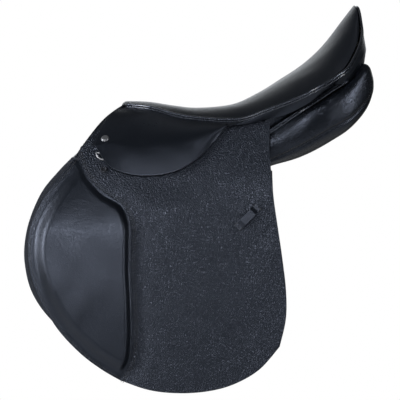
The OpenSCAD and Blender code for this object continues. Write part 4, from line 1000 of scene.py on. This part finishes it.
lining_y = np.linspace(-LINING_HALF_WIDTH, LINING_HALF_WIDTH, 41)[None]
lining_t = np.linspace(0, 1, 22)[:, None]
rear_grid = np.stack(np.broadcast_arrays(LINING_X - LINING_LEAN * lining_t, lining_y,
                                         LINING_Z - LINING_DROP * lining_t), axis=-1)
rear_lining = leather_sheet("rear_lining", rear_grid, LINING_THICKNESS, panel_leather, REARWARD)
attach(rear_lining, "root")
cheek_t, cheek_w = np.linspace(0, 1, CHEEK_POINTS), np.linspace(0, 1, 16)[:, None, None]
skirt_front = strip_at(np.full(CHEEK_POINTS, CHEEK_START), cheek_t) + UNDER_SKIRT
pommel_edge = curve_at(pommel_side, cheek_t) + BEHIND_POMMEL
cheek_grid = skirt_front[None] * (1 - cheek_w) + pommel_edge[None] * cheek_w
cheek_out = np.array([-1, -1, 0])
for side, mirror in SIDES.items():
    cheek = leather_sheet(f"cheek_{side}", mirror(cheek_grid), CHEEK_THICKNESS, smooth_leather,
                          mirror(cheek_out))
    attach(cheek, "root")
print("facings:", [len(p.data.vertices) for p in (cantle, pommel, rear_lining, cheek)], "vertices")

# %% [markdown]
# The panels are long cushions stuffed with wool. A table of sections along each gives its middle, its
# width, its height and its slope, and any point on it is then a share along it and an angle round it. A
# sculpted cushion would do as well, but these two numbers also find its seams and its piping.

# %% Panel curves
PANEL_HALF_WIDTH, PANEL_RISE, PANEL_HALF_THICKNESS, PANEL_ENDS = 121, 133, 55, (-216, 253)
PANEL_SECTIONS = np.array([
    [0, -.18, .18, .545, .744, .3], [.017, -.165, .455, .446, .835, .3],
    [.064, -.188, .89, .372, .881, .3], [.109, -.188, .96, .36, .86, .35],
    [.194, -.105, .764, .347, .798, .45], [.333, .015, .455, .331, .789, .6],
    [.461, .045, .436, .314, .826, .6], [.567, .07, .45, .289, .881, .42],
    [.667, .203, .564, .281, .917, .15], [.759, .342, .655, .281, 1, -.06],
    [.825, .474, .69, .281, .988, -.1], [.861, .556, .709, .281, .967, -.1],
    [.913, .677, .745, .281, .909, -.06], [.957, .842, .764, .298, .802, 0],
    [.981, .895, .582, .331, .711, 0], [.9935, .8985, .309, .388, .628, 0],
    [1, .8985, .09, .463, .545, 0]])
PANEL_ROUND, PANEL_SEAMS, SEAM_WIDTH, SEAM_DEPTH = 0.6, (54, -36), 7.0, 3.2
PUCKER_SHARE, PUCKER_LENGTH = 0.25, 9.0


def signed_power(value, power):
    return np.sign(value) * np.abs(value) ** power


def panel_section(s):
    """Middle, half width, half height and slope of the panel's section at shares along it."""
    p = curve_at(PANEL_SECTIONS, s)
    x = PANEL_ENDS[0] + (PANEL_ENDS[1] - PANEL_ENDS[0]) * p[:, 0]
    middle = np.stack([x, -(p[:, 3] + p[:, 4]) * PANEL_HALF_WIDTH / 2, p[:, 1] * PANEL_RISE], axis=1)
    return middle, (p[:, 4] - p[:, 3]) * PANEL_HALF_WIDTH / 2, p[:, 2] * PANEL_HALF_THICKNESS, p[:, 5]


def panel_at(s, degrees, lift=0.0):
    """Points on the panel at shares along it and angles round it, raised off its surface."""
    s, degrees = np.broadcast_arrays(np.asarray(s, float), np.asarray(degrees, float))
    middle, half_w, half_h, slope = panel_section(s.ravel())
    c = signed_power(np.cos(np.radians(degrees.ravel())), PANEL_ROUND)
    k = signed_power(np.sin(np.radians(degrees.ravel())), PANEL_ROUND)
    out = np.stack([np.zeros_like(c), -half_w * c, half_h * k - slope * half_w * c], axis=1)
    return (middle + out + unit(out) * lift).reshape(s.shape + (3,))


def panel_place(points):
    """Share along the panel and angle round it of points on it."""
    dense = np.linspace(0, 1, 1201)
    s = np.interp(points[:, 0], panel_section(dense)[0][:, 0], dense)
    middle, half_w, half_h, slope = panel_section(s)
    c = -(points[:, 1] - middle[:, 1]) / half_w
    k = (points[:, 2] - middle[:, 2] + slope * half_w * c) / half_h
    return s, np.degrees(np.arctan2(signed_power(k, 1 / PANEL_ROUND), signed_power(c, 1 / PANEL_ROUND)))


print("panel curves ready")

# %% [markdown]
# Each panel starts a little slimmer than its solid, is blown up by a short cloth simulation so that its
# skin is drawn round like a stuffed one, and is then pulled in along the two seams where the real cushion
# is sewn to its gusset. The far panel is the mirror image of the near one.

# %% Panels
VOXEL, PRESSURE, FRAMES, SWELL_LIMIT, SLIMMER = 5.0, 4.0, 20, 5.0, 3.0


def coordinates(mesh):
    flat = np.empty(len(mesh.vertices) * 3)
    mesh.vertices.foreach_get("co", flat)
    return flat.reshape(-1, 3)


def set_coordinates(mesh, points):
    mesh.vertices.foreach_set("co", np.ascontiguousarray(points).ravel())
    mesh.update()


def even_skin(piece, voxel):
    remesh = piece.modifiers.new("even", "REMESH")
    remesh.mode = "VOXEL"
    remesh.voxel_size = voxel * MM
    remesh.use_smooth_shade = True
    return apply_modifiers(piece)


def stuff(piece):
    """Blows the piece up with a short cloth simulation, no point moving further than the limit."""
    start = coordinates(piece.data)
    cloth = piece.modifiers.new("stuffing", "CLOTH")
    cloth.settings.use_pressure = True
    cloth.settings.uniform_pressure_force = PRESSURE
    cloth.settings.effector_weights.gravity = 0
    for number in range(1, FRAMES + 1):
        scene.frame_set(number)
    swollen = coordinates(piece.evaluated_get(bpy.context.evaluated_depsgraph_get()).data)
    piece.modifiers.clear()
    scene.frame_set(1)
    move = swollen - start
    far = np.linalg.norm(move, axis=1, keepdims=True)
    set_coordinates(piece.data, start + move * np.minimum(1, SWELL_LIMIT * MM / np.maximum(far, 1e-9)))
    return piece


def finer(piece):
    even = piece.modifiers.new("even", "SMOOTH")
    even.factor, even.iterations = 0.5, 8
    smooth = piece.modifiers.new("finer", "SUBSURF")
    smooth.levels = smooth.render_levels = 1
    return apply_modifiers(piece)


def sew_seams(piece):
    """Pulls the panel's skin in along its two seams, with small puckers between the stitches."""
    points = coordinates(piece.data) / MM
    s, angle = panel_place(points)
    middle, _, half_h, _ = panel_section(s)
    inwards = unit(middle - points)
    pull = np.zeros(len(points))
    for seam in PANEL_SEAMS:
        near = np.exp(-((angle - seam) / SEAM_WIDTH) ** 2)
        pucker = 1 + PUCKER_SHARE * np.sin(points[:, 0] / PUCKER_LENGTH * np.pi) * (1 - near)
        pull = np.maximum(pull, near * pucker)
    fade = np.minimum(1, half_h / (PANEL_ROUND * PANEL_HALF_THICKNESS))
    set_coordinates(piece.data, (points + inwards * (SEAM_DEPTH * pull * fade)[:, None]) * MM)
    return piece


ring_angles = np.linspace(-180, 180, 56, endpoint=False)
panel_rings = panel_at(np.linspace(0, 1, 90)[:, None], ring_angles[None], -SLIMMER)
panel = even_skin(loft("panel_cushion_left", panel_rings, panel_leather), VOXEL)
stuff(panel)
sew_seams(finer(panel))
far_panel = panel.copy()
far_panel.data = panel.data.copy()
far_panel.name = far_panel.data.name = "panel_cushion_right"
scene.collection.objects.link(far_panel)
set_coordinates(far_panel.data, off_side(coordinates(far_panel.data)))
far_panel.data.flip_normals()
for side, piece in (("left", panel), ("right", far_panel)):
    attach(piece, "root")
    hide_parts(f"panel_{side}")
print("panels:", len(panel.data.vertices), "vertices each")

# %% [markdown]
# Behind the flap, a double cord of piping runs along the panel's upper seam, and a flange of leather goes
# up from it behind the skirt's tail, where the real panel is laced to the seat. Under the flap lie the
# sweat flap, the webs that carry the billets, and the padded knee and thigh blocks. The blocks are lofted
# from half-round sections, because they lie flat on the sweat flap, and each web is a strip swept along a
# line over the panel.

# %% Under the flap
SWEAT_LENGTH, SWEAT_REACH, SWEAT_DROP, SWEAT_TOP = 369, 265, 282, 10
SWEAT_FACE, SWEAT_THICKNESS, UNDER_REACH = 110.0, 3.0, 110.3
SWEAT_OUTLINE = [[.19, -.07], [.138, 0], [.07, .11], [.02, .26], [0, .4], [.006, .52], [.03, .63],
                 [.08, .735], [.16, .84], [.26, .92], [.38, .972], [.52, 1], [.66, .985], [.79, .935],
                 [.89, .85], [.96, .72], [.992, .56], [1, .38], [.99, .18], [.984, 0]]
KNEE_BLOCK = [[.158, .126], [.123, .253], [.108, .386], [.128, .519], [.174, .651]]
THIGH_BLOCK = [[.979, .253], [.982, .386], [.986, .519], [.989, .64]]
KNEE_HALF_WIDTH, KNEE_HEIGHT, THIGH_HALF_WIDTH, THIGH_HEIGHT = 0.0557, 25, 0.0243, 18
BLOCK_RINGS, BLOCK_POINTS, BLOCK_ROUND, BLOCK_TOP = 60, 30, 0.35, 0.4
BILLET_WIDTH, BILLET_LENGTH, BILLET_THICKNESS, BILLET_GAP = 25, 285, 3.5, 0.3
BILLET_X, BILLET_PITCH, BILLET_PIVOT = 2, 28, -30
WEB_THICKNESS, WEB_ROWS, WEB_COLUMNS = 1.8, 60, 11
WEB_WAY = [[.46, .58], [.68, .56], [.872, .428], [.98, .187]]
WEB_ENDS = (-7.7, -17.2)
FLANGE_THICKNESS, FLANGE_LAP = 1.5, 5.5
CORD_UPPER_ANGLE, CORD_LOWER_ANGLE, FLANGE_ANGLE = 52.0, 43.0, 60.0


def sweat_points(shares, reach):
    shares = np.asarray(shares)
    return np.stack([shares[..., 0] * SWEAT_LENGTH - SWEAT_REACH, np.full(shares.shape[:-1], -float(reach)),
                     -SWEAT_TOP - shares[..., 1] * SWEAT_DROP], axis=-1)


def block_rings(middle, half_width, height):
    """Rings of a padded block: flat on the sweat flap, round outside, lower at its top."""
    rings = []
    angle = np.linspace(0, np.pi, BLOCK_POINTS)
    for t in np.linspace(0, 1, BLOCK_RINGS):
        x, z = curve_at(middle, t)[0]
        round_off = max(0.01, 1 - (2 * t - 1) ** 4) ** BLOCK_ROUND
        shares = np.stack([x + np.cos(angle) * round_off * half_width, np.full(BLOCK_POINTS, z)], axis=1)
        ring = sweat_points(shares, UNDER_REACH)
        lower_top = BLOCK_TOP + (1 - BLOCK_TOP) * smooth_step(2 * t)
        ring[:, 1] -= np.sin(angle) * round_off * height * lower_top
        rings.append(ring)
    return np.array(rings)


def billet_reach(i):
    return UNDER_REACH + i * (BILLET_THICKNESS + BILLET_GAP)


def web_grid(i):
    """Face of the web that carries billet i, from the tree over the panel to the billet's top."""
    way = np.array(WEB_WAY) * np.array([UNDER_REACH, SEAT_HEIGHT])
    ends = [[billet_reach(i), z] for z in WEB_ENDS]
    way = curve_at(np.vstack([way, ends]), np.linspace(0, 1, WEB_ROWS))
    x = BILLET_X + i * BILLET_PITCH + np.linspace(-0.5, 0.5, WEB_COLUMNS) * BILLET_WIDTH
    grid = np.empty((WEB_ROWS, WEB_COLUMNS, 3))
    grid[..., 0] = x[None]
    grid[..., 1] = -way[:, :1] - WEB_THICKNESS
    grid[..., 2] = way[:, 1:]
    return grid


edge_share = np.linspace(0, 1, 150)
sweat_edge = curve_at(SWEAT_OUTLINE, edge_share)
sweat_top = sweat_edge[:1] * (1 - edge_share[:, None]) + sweat_edge[-1:] * edge_share[:, None]
sweat_t = np.linspace(0, 1, 40)[:, None, None]
sweat_grid = sweat_points(sweat_top[None] * (1 - sweat_t) + sweat_edge[None] * sweat_t, SWEAT_FACE)
piping_s = np.linspace(0.494, 0.742, 140)
piping_upper = panel_at(piping_s, CORD_UPPER_ANGLE, 0.7)
piping_lower = panel_at(piping_s, CORD_LOWER_ANGLE, -0.5)
flange_low = panel_at(np.linspace(0.488, 0.80, 140), FLANGE_ANGLE, -1.0)
walk = np.linspace(0.1, 0.42, 400)
flange_k = np.interp(flange_low[:, 0], rim_hang(walk)[:, 0], walk)
flange_top = rim_hang(flange_k) - rim_directions(flange_k)[0] * FLANGE_LAP
flange_t = np.linspace(0, 1, 12)[:, None, None]
flange_grid = flange_top[None] * (1 - flange_t) + flange_low[None] * flange_t
for side, mirror in SIDES.items():
    sweat = leather_sheet(f"sweat_hide_{side}", mirror(sweat_grid), SWEAT_THICKNESS, lining_leather,
                          mirror(flap_out), edge=0.4)
    webs = join(f"girth_straps_{side}", [
        leather_sheet(f"web_{i}_{side}", mirror(web_grid(i)), WEB_THICKNESS, webbing_material,
                      mirror(flap_out), edge=0.25) for i in range(3)])
    knee_rings = block_rings(KNEE_BLOCK, KNEE_HALF_WIDTH, KNEE_HEIGHT)
    knee = loft(f"knee_roll_{side}", mirror(knee_rings), pad_leather)
    thigh_rings = block_rings(THIGH_BLOCK, THIGH_HALF_WIDTH, THIGH_HEIGHT)
    thigh = loft(f"thigh_roll_{side}", mirror(thigh_rings), pad_leather)
    piping = join(f"panel_cord_{side}", [
        loft(f"cord_upper_{side}", tube_rings(mirror(piping_upper), 2.0, 14), piping_leather),
        loft(f"cord_lower_{side}", tube_rings(mirror(piping_lower), 1.6, 12), piping_leather)])
    flange = leather_sheet(f"panel_flange_{side}", mirror(flange_grid), FLANGE_THICKNESS, panel_leather,
                           mirror(flap_out))
    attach(flange, "root")
    made = ((sweat, f"sweat_flap_{side}", "lining_leather"), (webs, f"girth_web_{side}", "webbing"),
            (knee, f"knee_block_{side}", "pad_leather"), (thigh, f"thigh_block_{side}", "pad_leather"),
            (piping, f"panel_piping_{side}", "panel_leather"))
    for piece, node_name, slot_name in made:
        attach(piece, "root")
        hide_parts(node_name)
    print(f"under the {side} flap:", [len(m[0].data.vertices) for m in made], "vertices")

# %% [markdown]
# The small pieces are what the eye goes to on a plain black flap: the keeper that takes the stirrup
# leather's end, the skirt's nail head, and the button. The nail and button are round, so each is a profile
# turned about its axis: a sphere pressed flat would miss the button's sunken middle.

# %% Keepers, nails and buttons
KEEPER_LENGTH, KEEPER_WIDTH, KEEPER_THICKNESS, KEEPER_GAP, KEEPER_SEWN = 45, 12, 2.0, 2.6, 0.14
KEEPER_SPOT, KEEPER_BED = (.852, .1885), 0.4
BUTTON_SPOT, NAIL_SPOT = (.2917, .13), (.032, .9)
NAIL_PROFILE = [(0.02, 2.2), (2.0, 2.17), (3.8, 2.05), (4.7, 1.8), (5.3, 1.2), (5.6, 0.4), (5.5, 0.0),
                (0.02, 0.0)]
BUTTON_PROFILE = [(0.02, 1.3), (1.4, 1.25), (2.3, 1.35), (2.7, 1.9), (3.2, 2.55), (3.9, 2.75), (4.6, 2.45),
                  (5.1, 1.5), (5.2, 0.5), (5.1, 0.0), (0.02, 0.0)]
TURNED_SIDES = 48


def turned(name, profile, spot, out, material):
    """Turned piece of radii and heights, standing on a spot with its axis along out."""
    out = unit(np.asarray(out, float))
    first = unit(np.cross(out, [0.3, 0.2, 0.9]))
    second = np.cross(out, first)
    dense = curve_at(profile, np.linspace(0, 1, 6 * len(profile)))
    angle = np.linspace(0, 2 * np.pi, TURNED_SIDES, endpoint=False)[:, None]
    ring = first * np.cos(angle) + second * np.sin(angle)
    return loft(name, [spot + out * h + ring * max(r, 0.02) for r, h in dense], material)


def keeper_point(t, v, lift=0.0):
    """Point on the keeper's face at shares along it and across it, from -1 to 1."""
    along, side = np.array([1, 1]) / np.sqrt(2), np.array([-1, 1]) / np.sqrt(2)
    t, v = np.broadcast_arrays(np.asarray(t, float), np.asarray(v, float))
    spot = np.array([KEEPER_SPOT[0] * FLAP_LENGTH - FLAP_REACH, FLAP_LINE - KEEPER_SPOT[1] * FLAP_DROP])
    p = spot + along * ((t - 0.5) * KEEPER_LENGTH)[..., None] + side * (v * KEEPER_WIDTH / 2)[..., None]
    rise = KEEPER_GAP * smooth_step(np.minimum(t, 1 - t) / KEEPER_SEWN - 1)
    y = -flap_reach(p[..., 0], p[..., 1]) - KEEPER_BED - rise - KEEPER_THICKNESS - lift
    return np.stack([p[..., 0], y, p[..., 1]], axis=-1)


keeper_grid = keeper_point(np.linspace(0, 1, 70)[:, None], np.linspace(-1, 1, 15)[None])
nail_spot = strip_at(*NAIL_SPOT)
nail_s, nail_t = NAIL_SPOT
nail_out = np.cross(strip_at(nail_s, nail_t + 0.01) - strip_at(nail_s, nail_t - 0.01),
                    strip_at(nail_s + 0.01, nail_t) - strip_at(nail_s - 0.01, nail_t))
button_spot = flap_place(np.array([BUTTON_SPOT]), -FLAP_RISE)[0]
button_out = np.array([-0.06, -1, 0.42])
nails, buttons = [], []
for side, mirror in SIDES.items():
    keeper = leather_sheet(f"keeper_loop_{side}", mirror(keeper_grid), KEEPER_THICKNESS, smooth_leather,
                           mirror(flap_out), edge=0.3)
    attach(keeper, f"flap_{side}")
    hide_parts(f"keeper_{side}")
    nails.append(turned(f"nail_{side}", NAIL_PROFILE, mirror(nail_spot), mirror(nail_out), nickel))
    buttons.append(turned(f"button_{side}", BUTTON_PROFILE, mirror(button_spot), mirror(button_out),
                          button_black))
for piece, node_name, slot_name in ((join("nail_heads", nails), "skirt_nails", "nickel"),
                                    (join("flap_studs", buttons), "flap_buttons", "black_button")):
    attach(piece, "root")
    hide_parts(node_name)
    print(piece.name + ":", len(piece.data.vertices), "vertices")

# %% [markdown]
# Stitches repeat by the hundred, so one Geometry Nodes tree lays them. It takes plain lines, cuts them
# into equal steps, sets a rounded thread along each step and gives it the thread's material. The result
# is kept as a plain mesh, so that each set of rows can move with its own body.

# %% Stitch tree
def make_stitch_tree():
    tree = bpy.data.node_groups.new("stitch_rows", "GeometryNodeTree")
    sockets = {"Lines": "NodeSocketGeometry", "Pitch": "NodeSocketFloat", "Length": "NodeSocketFloat",
               "Thickness": "NodeSocketFloat", "Thread": "NodeSocketMaterial"}
    for label, kind in sockets.items():
        tree.interface.new_socket(label, in_out="INPUT", socket_type=kind)
    tree.interface.new_socket("Stitches", in_out="OUTPUT", socket_type="NodeSocketGeometry")
    given, result = tree.nodes.new("NodeGroupInput"), tree.nodes.new("NodeGroupOutput")
    curve = add_node(tree, "GeometryNodeMeshToCurve")
    steps = add_node(tree, "GeometryNodeResampleCurve", {"mode": "LENGTH"})
    along = add_node(tree, "GeometryNodeInputTangent")
    turn = add_node(tree, "FunctionNodeAlignRotationToVector", {"axis": "Z"})
    thread = add_node(tree, "GeometryNodeMeshUVSphere", Segments=8, Rings=6, Radius=0.5)
    size = add_node(tree, "ShaderNodeCombineXYZ")
    lay = add_node(tree, "GeometryNodeInstanceOnPoints")
    solid = add_node(tree, "GeometryNodeRealizeInstances")
    smooth = add_node(tree, "GeometryNodeSetShadeSmooth")
    finish = add_node(tree, "GeometryNodeSetMaterial")
    links = [(given.outputs["Lines"], curve.inputs["Mesh"]), (curve.outputs[0], steps.inputs["Curve"]),
             (given.outputs["Pitch"], steps.inputs["Length"]), (along.outputs[0], turn.inputs["Vector"]),
             (given.outputs["Thickness"], size.inputs["X"]), (given.outputs["Thickness"], size.inputs["Y"]),
             (given.outputs["Length"], size.inputs["Z"]), (steps.outputs[0], lay.inputs["Points"]),
             (thread.outputs["Mesh"], lay.inputs["Instance"]), (turn.outputs[0], lay.inputs["Rotation"]),
             (size.outputs[0], lay.inputs["Scale"]), (lay.outputs[0], solid.inputs[0]),
             (solid.outputs[0], smooth.inputs[0]), (smooth.outputs[0], finish.inputs[0]),
             (given.outputs["Thread"], finish.inputs["Material"]),
             (finish.outputs[0], result.inputs["Stitches"])]
    for start, end in links:
        tree.links.new(start, end)
    return tree


stitch_tree = make_stitch_tree()


def sew(name, lines, pitch=3.4, length=2.7, thickness=0.75):
    """Piece made of stitches along lines, all in millimetres."""
    mesh = bpy.data.meshes.new(name)
    vertices, edges = np.concatenate(lines), []
    for line in lines:
        start = 0 if not edges else edges[-1][1] + 1
        edges += [(k, k + 1) for k in range(start, start + len(line) - 1)]
    mesh.from_pydata((vertices * MM).tolist(), edges, [])
    piece = bpy.data.objects.new(name, mesh)
    scene.collection.objects.link(piece)
    rows = piece.modifiers.new("stitches", "NODES")
    rows.node_group = stitch_tree
    given = {"Pitch": pitch * MM, "Length": length * MM, "Thickness": thickness * MM,
             "Thread": stitch_thread}
    for socket in stitch_tree.interface.items_tree:
        if socket.in_out == "INPUT" and socket.name in given:
            rows[socket.identifier] = given[socket.name]
    apply_modifiers(piece)
    return piece


print("stitch tree:", len(stitch_tree.nodes), "nodes")

# %% [markdown]
# Two rows hold the edge of the grained hide down on the knee pad, one runs round the pad's border, and the
# keeper is sewn at its ends. Under the flap, the sweat flap has a row inside its edge and each billet one
# along each side, sunk in a groove because the next billet slides over it. A row in the panels' gusset
# seam shows behind the flap.

# %% Stitches
SEAM_ROWS, BORDER_INSET, SWEAT_INSET, BILLET_INSET = (2.2, 5.2), 3.4, 4.5, 3
GUSSET_ANGLE, GROOVE_DEPTH = -33.0, 0.2
KEEPER_ENDS, KEEPER_EDGE = ((0.035, 0.115), (0.885, 0.965)), (-0.78, 0.78)


def beside(line, distance):
    """A flat line moved sideways, to the left of its way."""
    ahead = unit(np.gradient(line, axis=0))
    return line + np.stack([-ahead[:, 1], ahead[:, 0]], axis=1) * distance


def on_flap(line, lift):
    return np.stack([line[:, 0], -flap_reach(line[:, 0], line[:, 1]) - lift, line[:, 1]], axis=1)


def keeper_rows():
    """Lines round the two sewn ends of the keeper."""
    lines = []
    for sewn in KEEPER_ENDS:
        lines += [keeper_point(np.full(9, t), np.linspace(*KEEPER_EDGE, 9), 0.1) for t in sewn]
        lines += [keeper_point(np.linspace(*sewn, 7), np.full(7, v), 0.1) for v in KEEPER_EDGE]
    return lines


flap_rows = []
for distance in SEAM_ROWS:
    row = beside(seam_line, distance)
    flap_rows.append(on_flap(row, 0.15 + seam_swell(distance, row[:, 1])))
flap_rows += [on_flap(beside(front_line, BORDER_INSET)[:-8], 0.2)] + keeper_rows()
sweat_line = beside(curve_at(SWEAT_OUTLINE, np.linspace(0.01, 0.99, 300)) * [SWEAT_LENGTH, -SWEAT_DROP]
                    + [-SWEAT_REACH, -SWEAT_TOP], SWEAT_INSET)
sweat_row = np.stack([sweat_line[:, 0], np.full(300, -SWEAT_FACE - 0.1), sweat_line[:, 1]], axis=1)
seam_s = np.linspace(0.06, 0.975, 400)
seam_guess = panel_at(seam_s, GUSSET_ANGLE, 3.0) * MM
seam_row = np.array([panel.closest_point_on_mesh(Vector(p))[1] for p in seam_guess]) / MM
seam_row = seam_row + unit(panel_at(seam_s, GUSSET_ANGLE) - panel_section(seam_s)[0]) * 0.15
for side, mirror in SIDES.items():
    bend_with_flap(sew(f"flap_stitches_{side}", [mirror(row) for row in flap_rows]), side)
    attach(sew(f"panel_stitches_{side}", [mirror(seam_row)], 4.2, 3.3, 0.8), "root")
    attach(sew(f"sweat_stitches_{side}", [mirror(sweat_row)]), "root")
    for i, place in enumerate(("front", "middle", "rear")):
        x = BILLET_X + i * BILLET_PITCH + np.array([-1, 1]) * (BILLET_WIDTH / 2 - BILLET_INSET)
        z = np.linspace(BILLET_PIVOT + 10, BILLET_PIVOT - BILLET_LENGTH + 30, 120)
        face = -billet_reach(i) - BILLET_THICKNESS + GROOVE_DEPTH
        rows = [mirror(np.stack([np.full(120, at), np.full(120, face), z], axis=1)) for at in x]
        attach(sew(f"billet_{place}_stitches_{side}", rows), f"billet_{place}_{side}")
    print(f"{side} side sewn")

# %% [markdown]
# The picture is a cut-out on white, lit by a broad soft studio. The floor is a pale disc well below the
# saddle, and a glow that only the camera sees keeps it pale. The sky is white to the camera. To the
# leather it is a dark dome with a bright wall above the horizon behind, which draws the light rims, and a
# dimmer one ahead of the pommel. Six soft lamps draw the highlights.

# %% Stage and light
FLOOR_HEIGHT, FLOOR_RADIUS, FLOOR_GLOW = -0.55, 1.6, 0.5
SKY_ALL, SKY_AHEAD, SKY_BEHIND = 0.05, 0.08, 1.5
AHEAD_RAMP, BEHIND_RAMP, ABOVE_RAMP = (0.0, 0.95), (0.8, 1.0), (0.0, 0.15)


def make_floor():
    material, tree, shader = new_material("floor")
    place = object_place(tree)
    speck = scaled_noise(tree, place, 60, 3.0).outputs[0]
    pale = mix_colour(tree, speck, (0.80, 0.80, 0.80), (0.86, 0.86, 0.86))
    tree.links.new(pale, shader.inputs["Base Color"])
    shader.inputs["Roughness"].default_value = 0.9
    seen = add_node(tree, "ShaderNodeLightPath").outputs["Is Camera Ray"]
    tree.links.new(calc(tree, "MULTIPLY", seen, FLOOR_GLOW), shader.inputs["Emission Strength"])
    shader.inputs["Emission Color"].default_value = (1, 1, 1, 1)
    work = bmesh.new()
    bmesh.ops.create_circle(work, cap_ends=True, segments=96, radius=FLOOR_RADIUS)
    mesh = bpy.data.meshes.new("floor")
    work.to_mesh(mesh)
    work.free()
    mesh.materials.append(material)
    floor = bpy.data.objects.new("floor", mesh)
    floor.location = (0, 0, FLOOR_HEIGHT)
    scene.collection.objects.link(floor)


def make_sky():
    world = bpy.data.worlds.new("studio")
    scene.world = world
    world.use_nodes = True
    tree = world.node_tree
    tree.nodes.clear()
    direction = add_node(tree, "ShaderNodeTexCoord").outputs["Generated"]
    split = add_node(tree, "ShaderNodeSeparateXYZ")
    tree.links.new(direction, split.inputs[0])
    ahead = ease(tree, calc(tree, "MULTIPLY", split.outputs["X"], -1.0), *AHEAD_RAMP)
    above = ease(tree, split.outputs["Z"], *ABOVE_RAMP)
    behind = calc(tree, "MULTIPLY", ease(tree, split.outputs["Y"], *BEHIND_RAMP), above)
    glow = calc(tree, "ADD", calc(tree, "MULTIPLY", ahead, SKY_AHEAD),
                calc(tree, "MULTIPLY", behind, SKY_BEHIND))
    dome = add_node(tree, "ShaderNodeBackground", Color=(0.93, 0.97, 1.0, 1))
    tree.links.new(calc(tree, "ADD", glow, SKY_ALL), dome.inputs["Strength"])
    white = add_node(tree, "ShaderNodeBackground", Color=(1, 1, 1, 1), Strength=1.0)
    seen = add_node(tree, "ShaderNodeLightPath").outputs["Is Camera Ray"]
    choice = add_node(tree, "ShaderNodeMixShader")
    tree.links.new(seen, choice.inputs[0])
    tree.links.new(dome.outputs[0], choice.inputs[1])
    tree.links.new(white.outputs[0], choice.inputs[2])
    output = add_node(tree, "ShaderNodeOutputWorld")
    tree.links.new(choice.outputs[0], output.inputs["Surface"])


def make_lamp(name, spot, aim, size, power):
    """Square area lamp at a spot, turned to shine at a point."""
    lamp = bpy.data.lights.new(name, "AREA")
    lamp.size, lamp.energy = size, power
    holder = bpy.data.objects.new(name, lamp)
    holder.location = spot
    holder.rotation_euler = (Vector(aim) - Vector(spot)).to_track_quat("-Z", "Y").to_euler()
    scene.collection.objects.link(holder)


make_floor()
make_sky()
make_lamp("front", (-0.45, -2.3, 0.72), (0, 0, -0.05), 0.4, 14)
make_lamp("ahead_low", (-1.6, -1.9, -0.1), (-0.1, -0.1, -0.05), 0.5, 4)
make_lamp("ahead_side", (-2.2, -0.8, 0.3), (-0.1, -0.1, -0.05), 0.7, 15)
make_lamp("ahead_near", (-1.0, -0.5, 0.3), (-0.1, -0.1, -0.1), 0.4, 4.5)
make_lamp("rear_low", (1.9, -1.2, 0.3), (0.2, -0.1, 0.1), 0.4, 14)
make_lamp("top", (0.1, 0.2, 2.1), (0.05, 0, 0), 1.2, 1)
scene.view_settings.view_transform = "Standard"
print("stage ready")
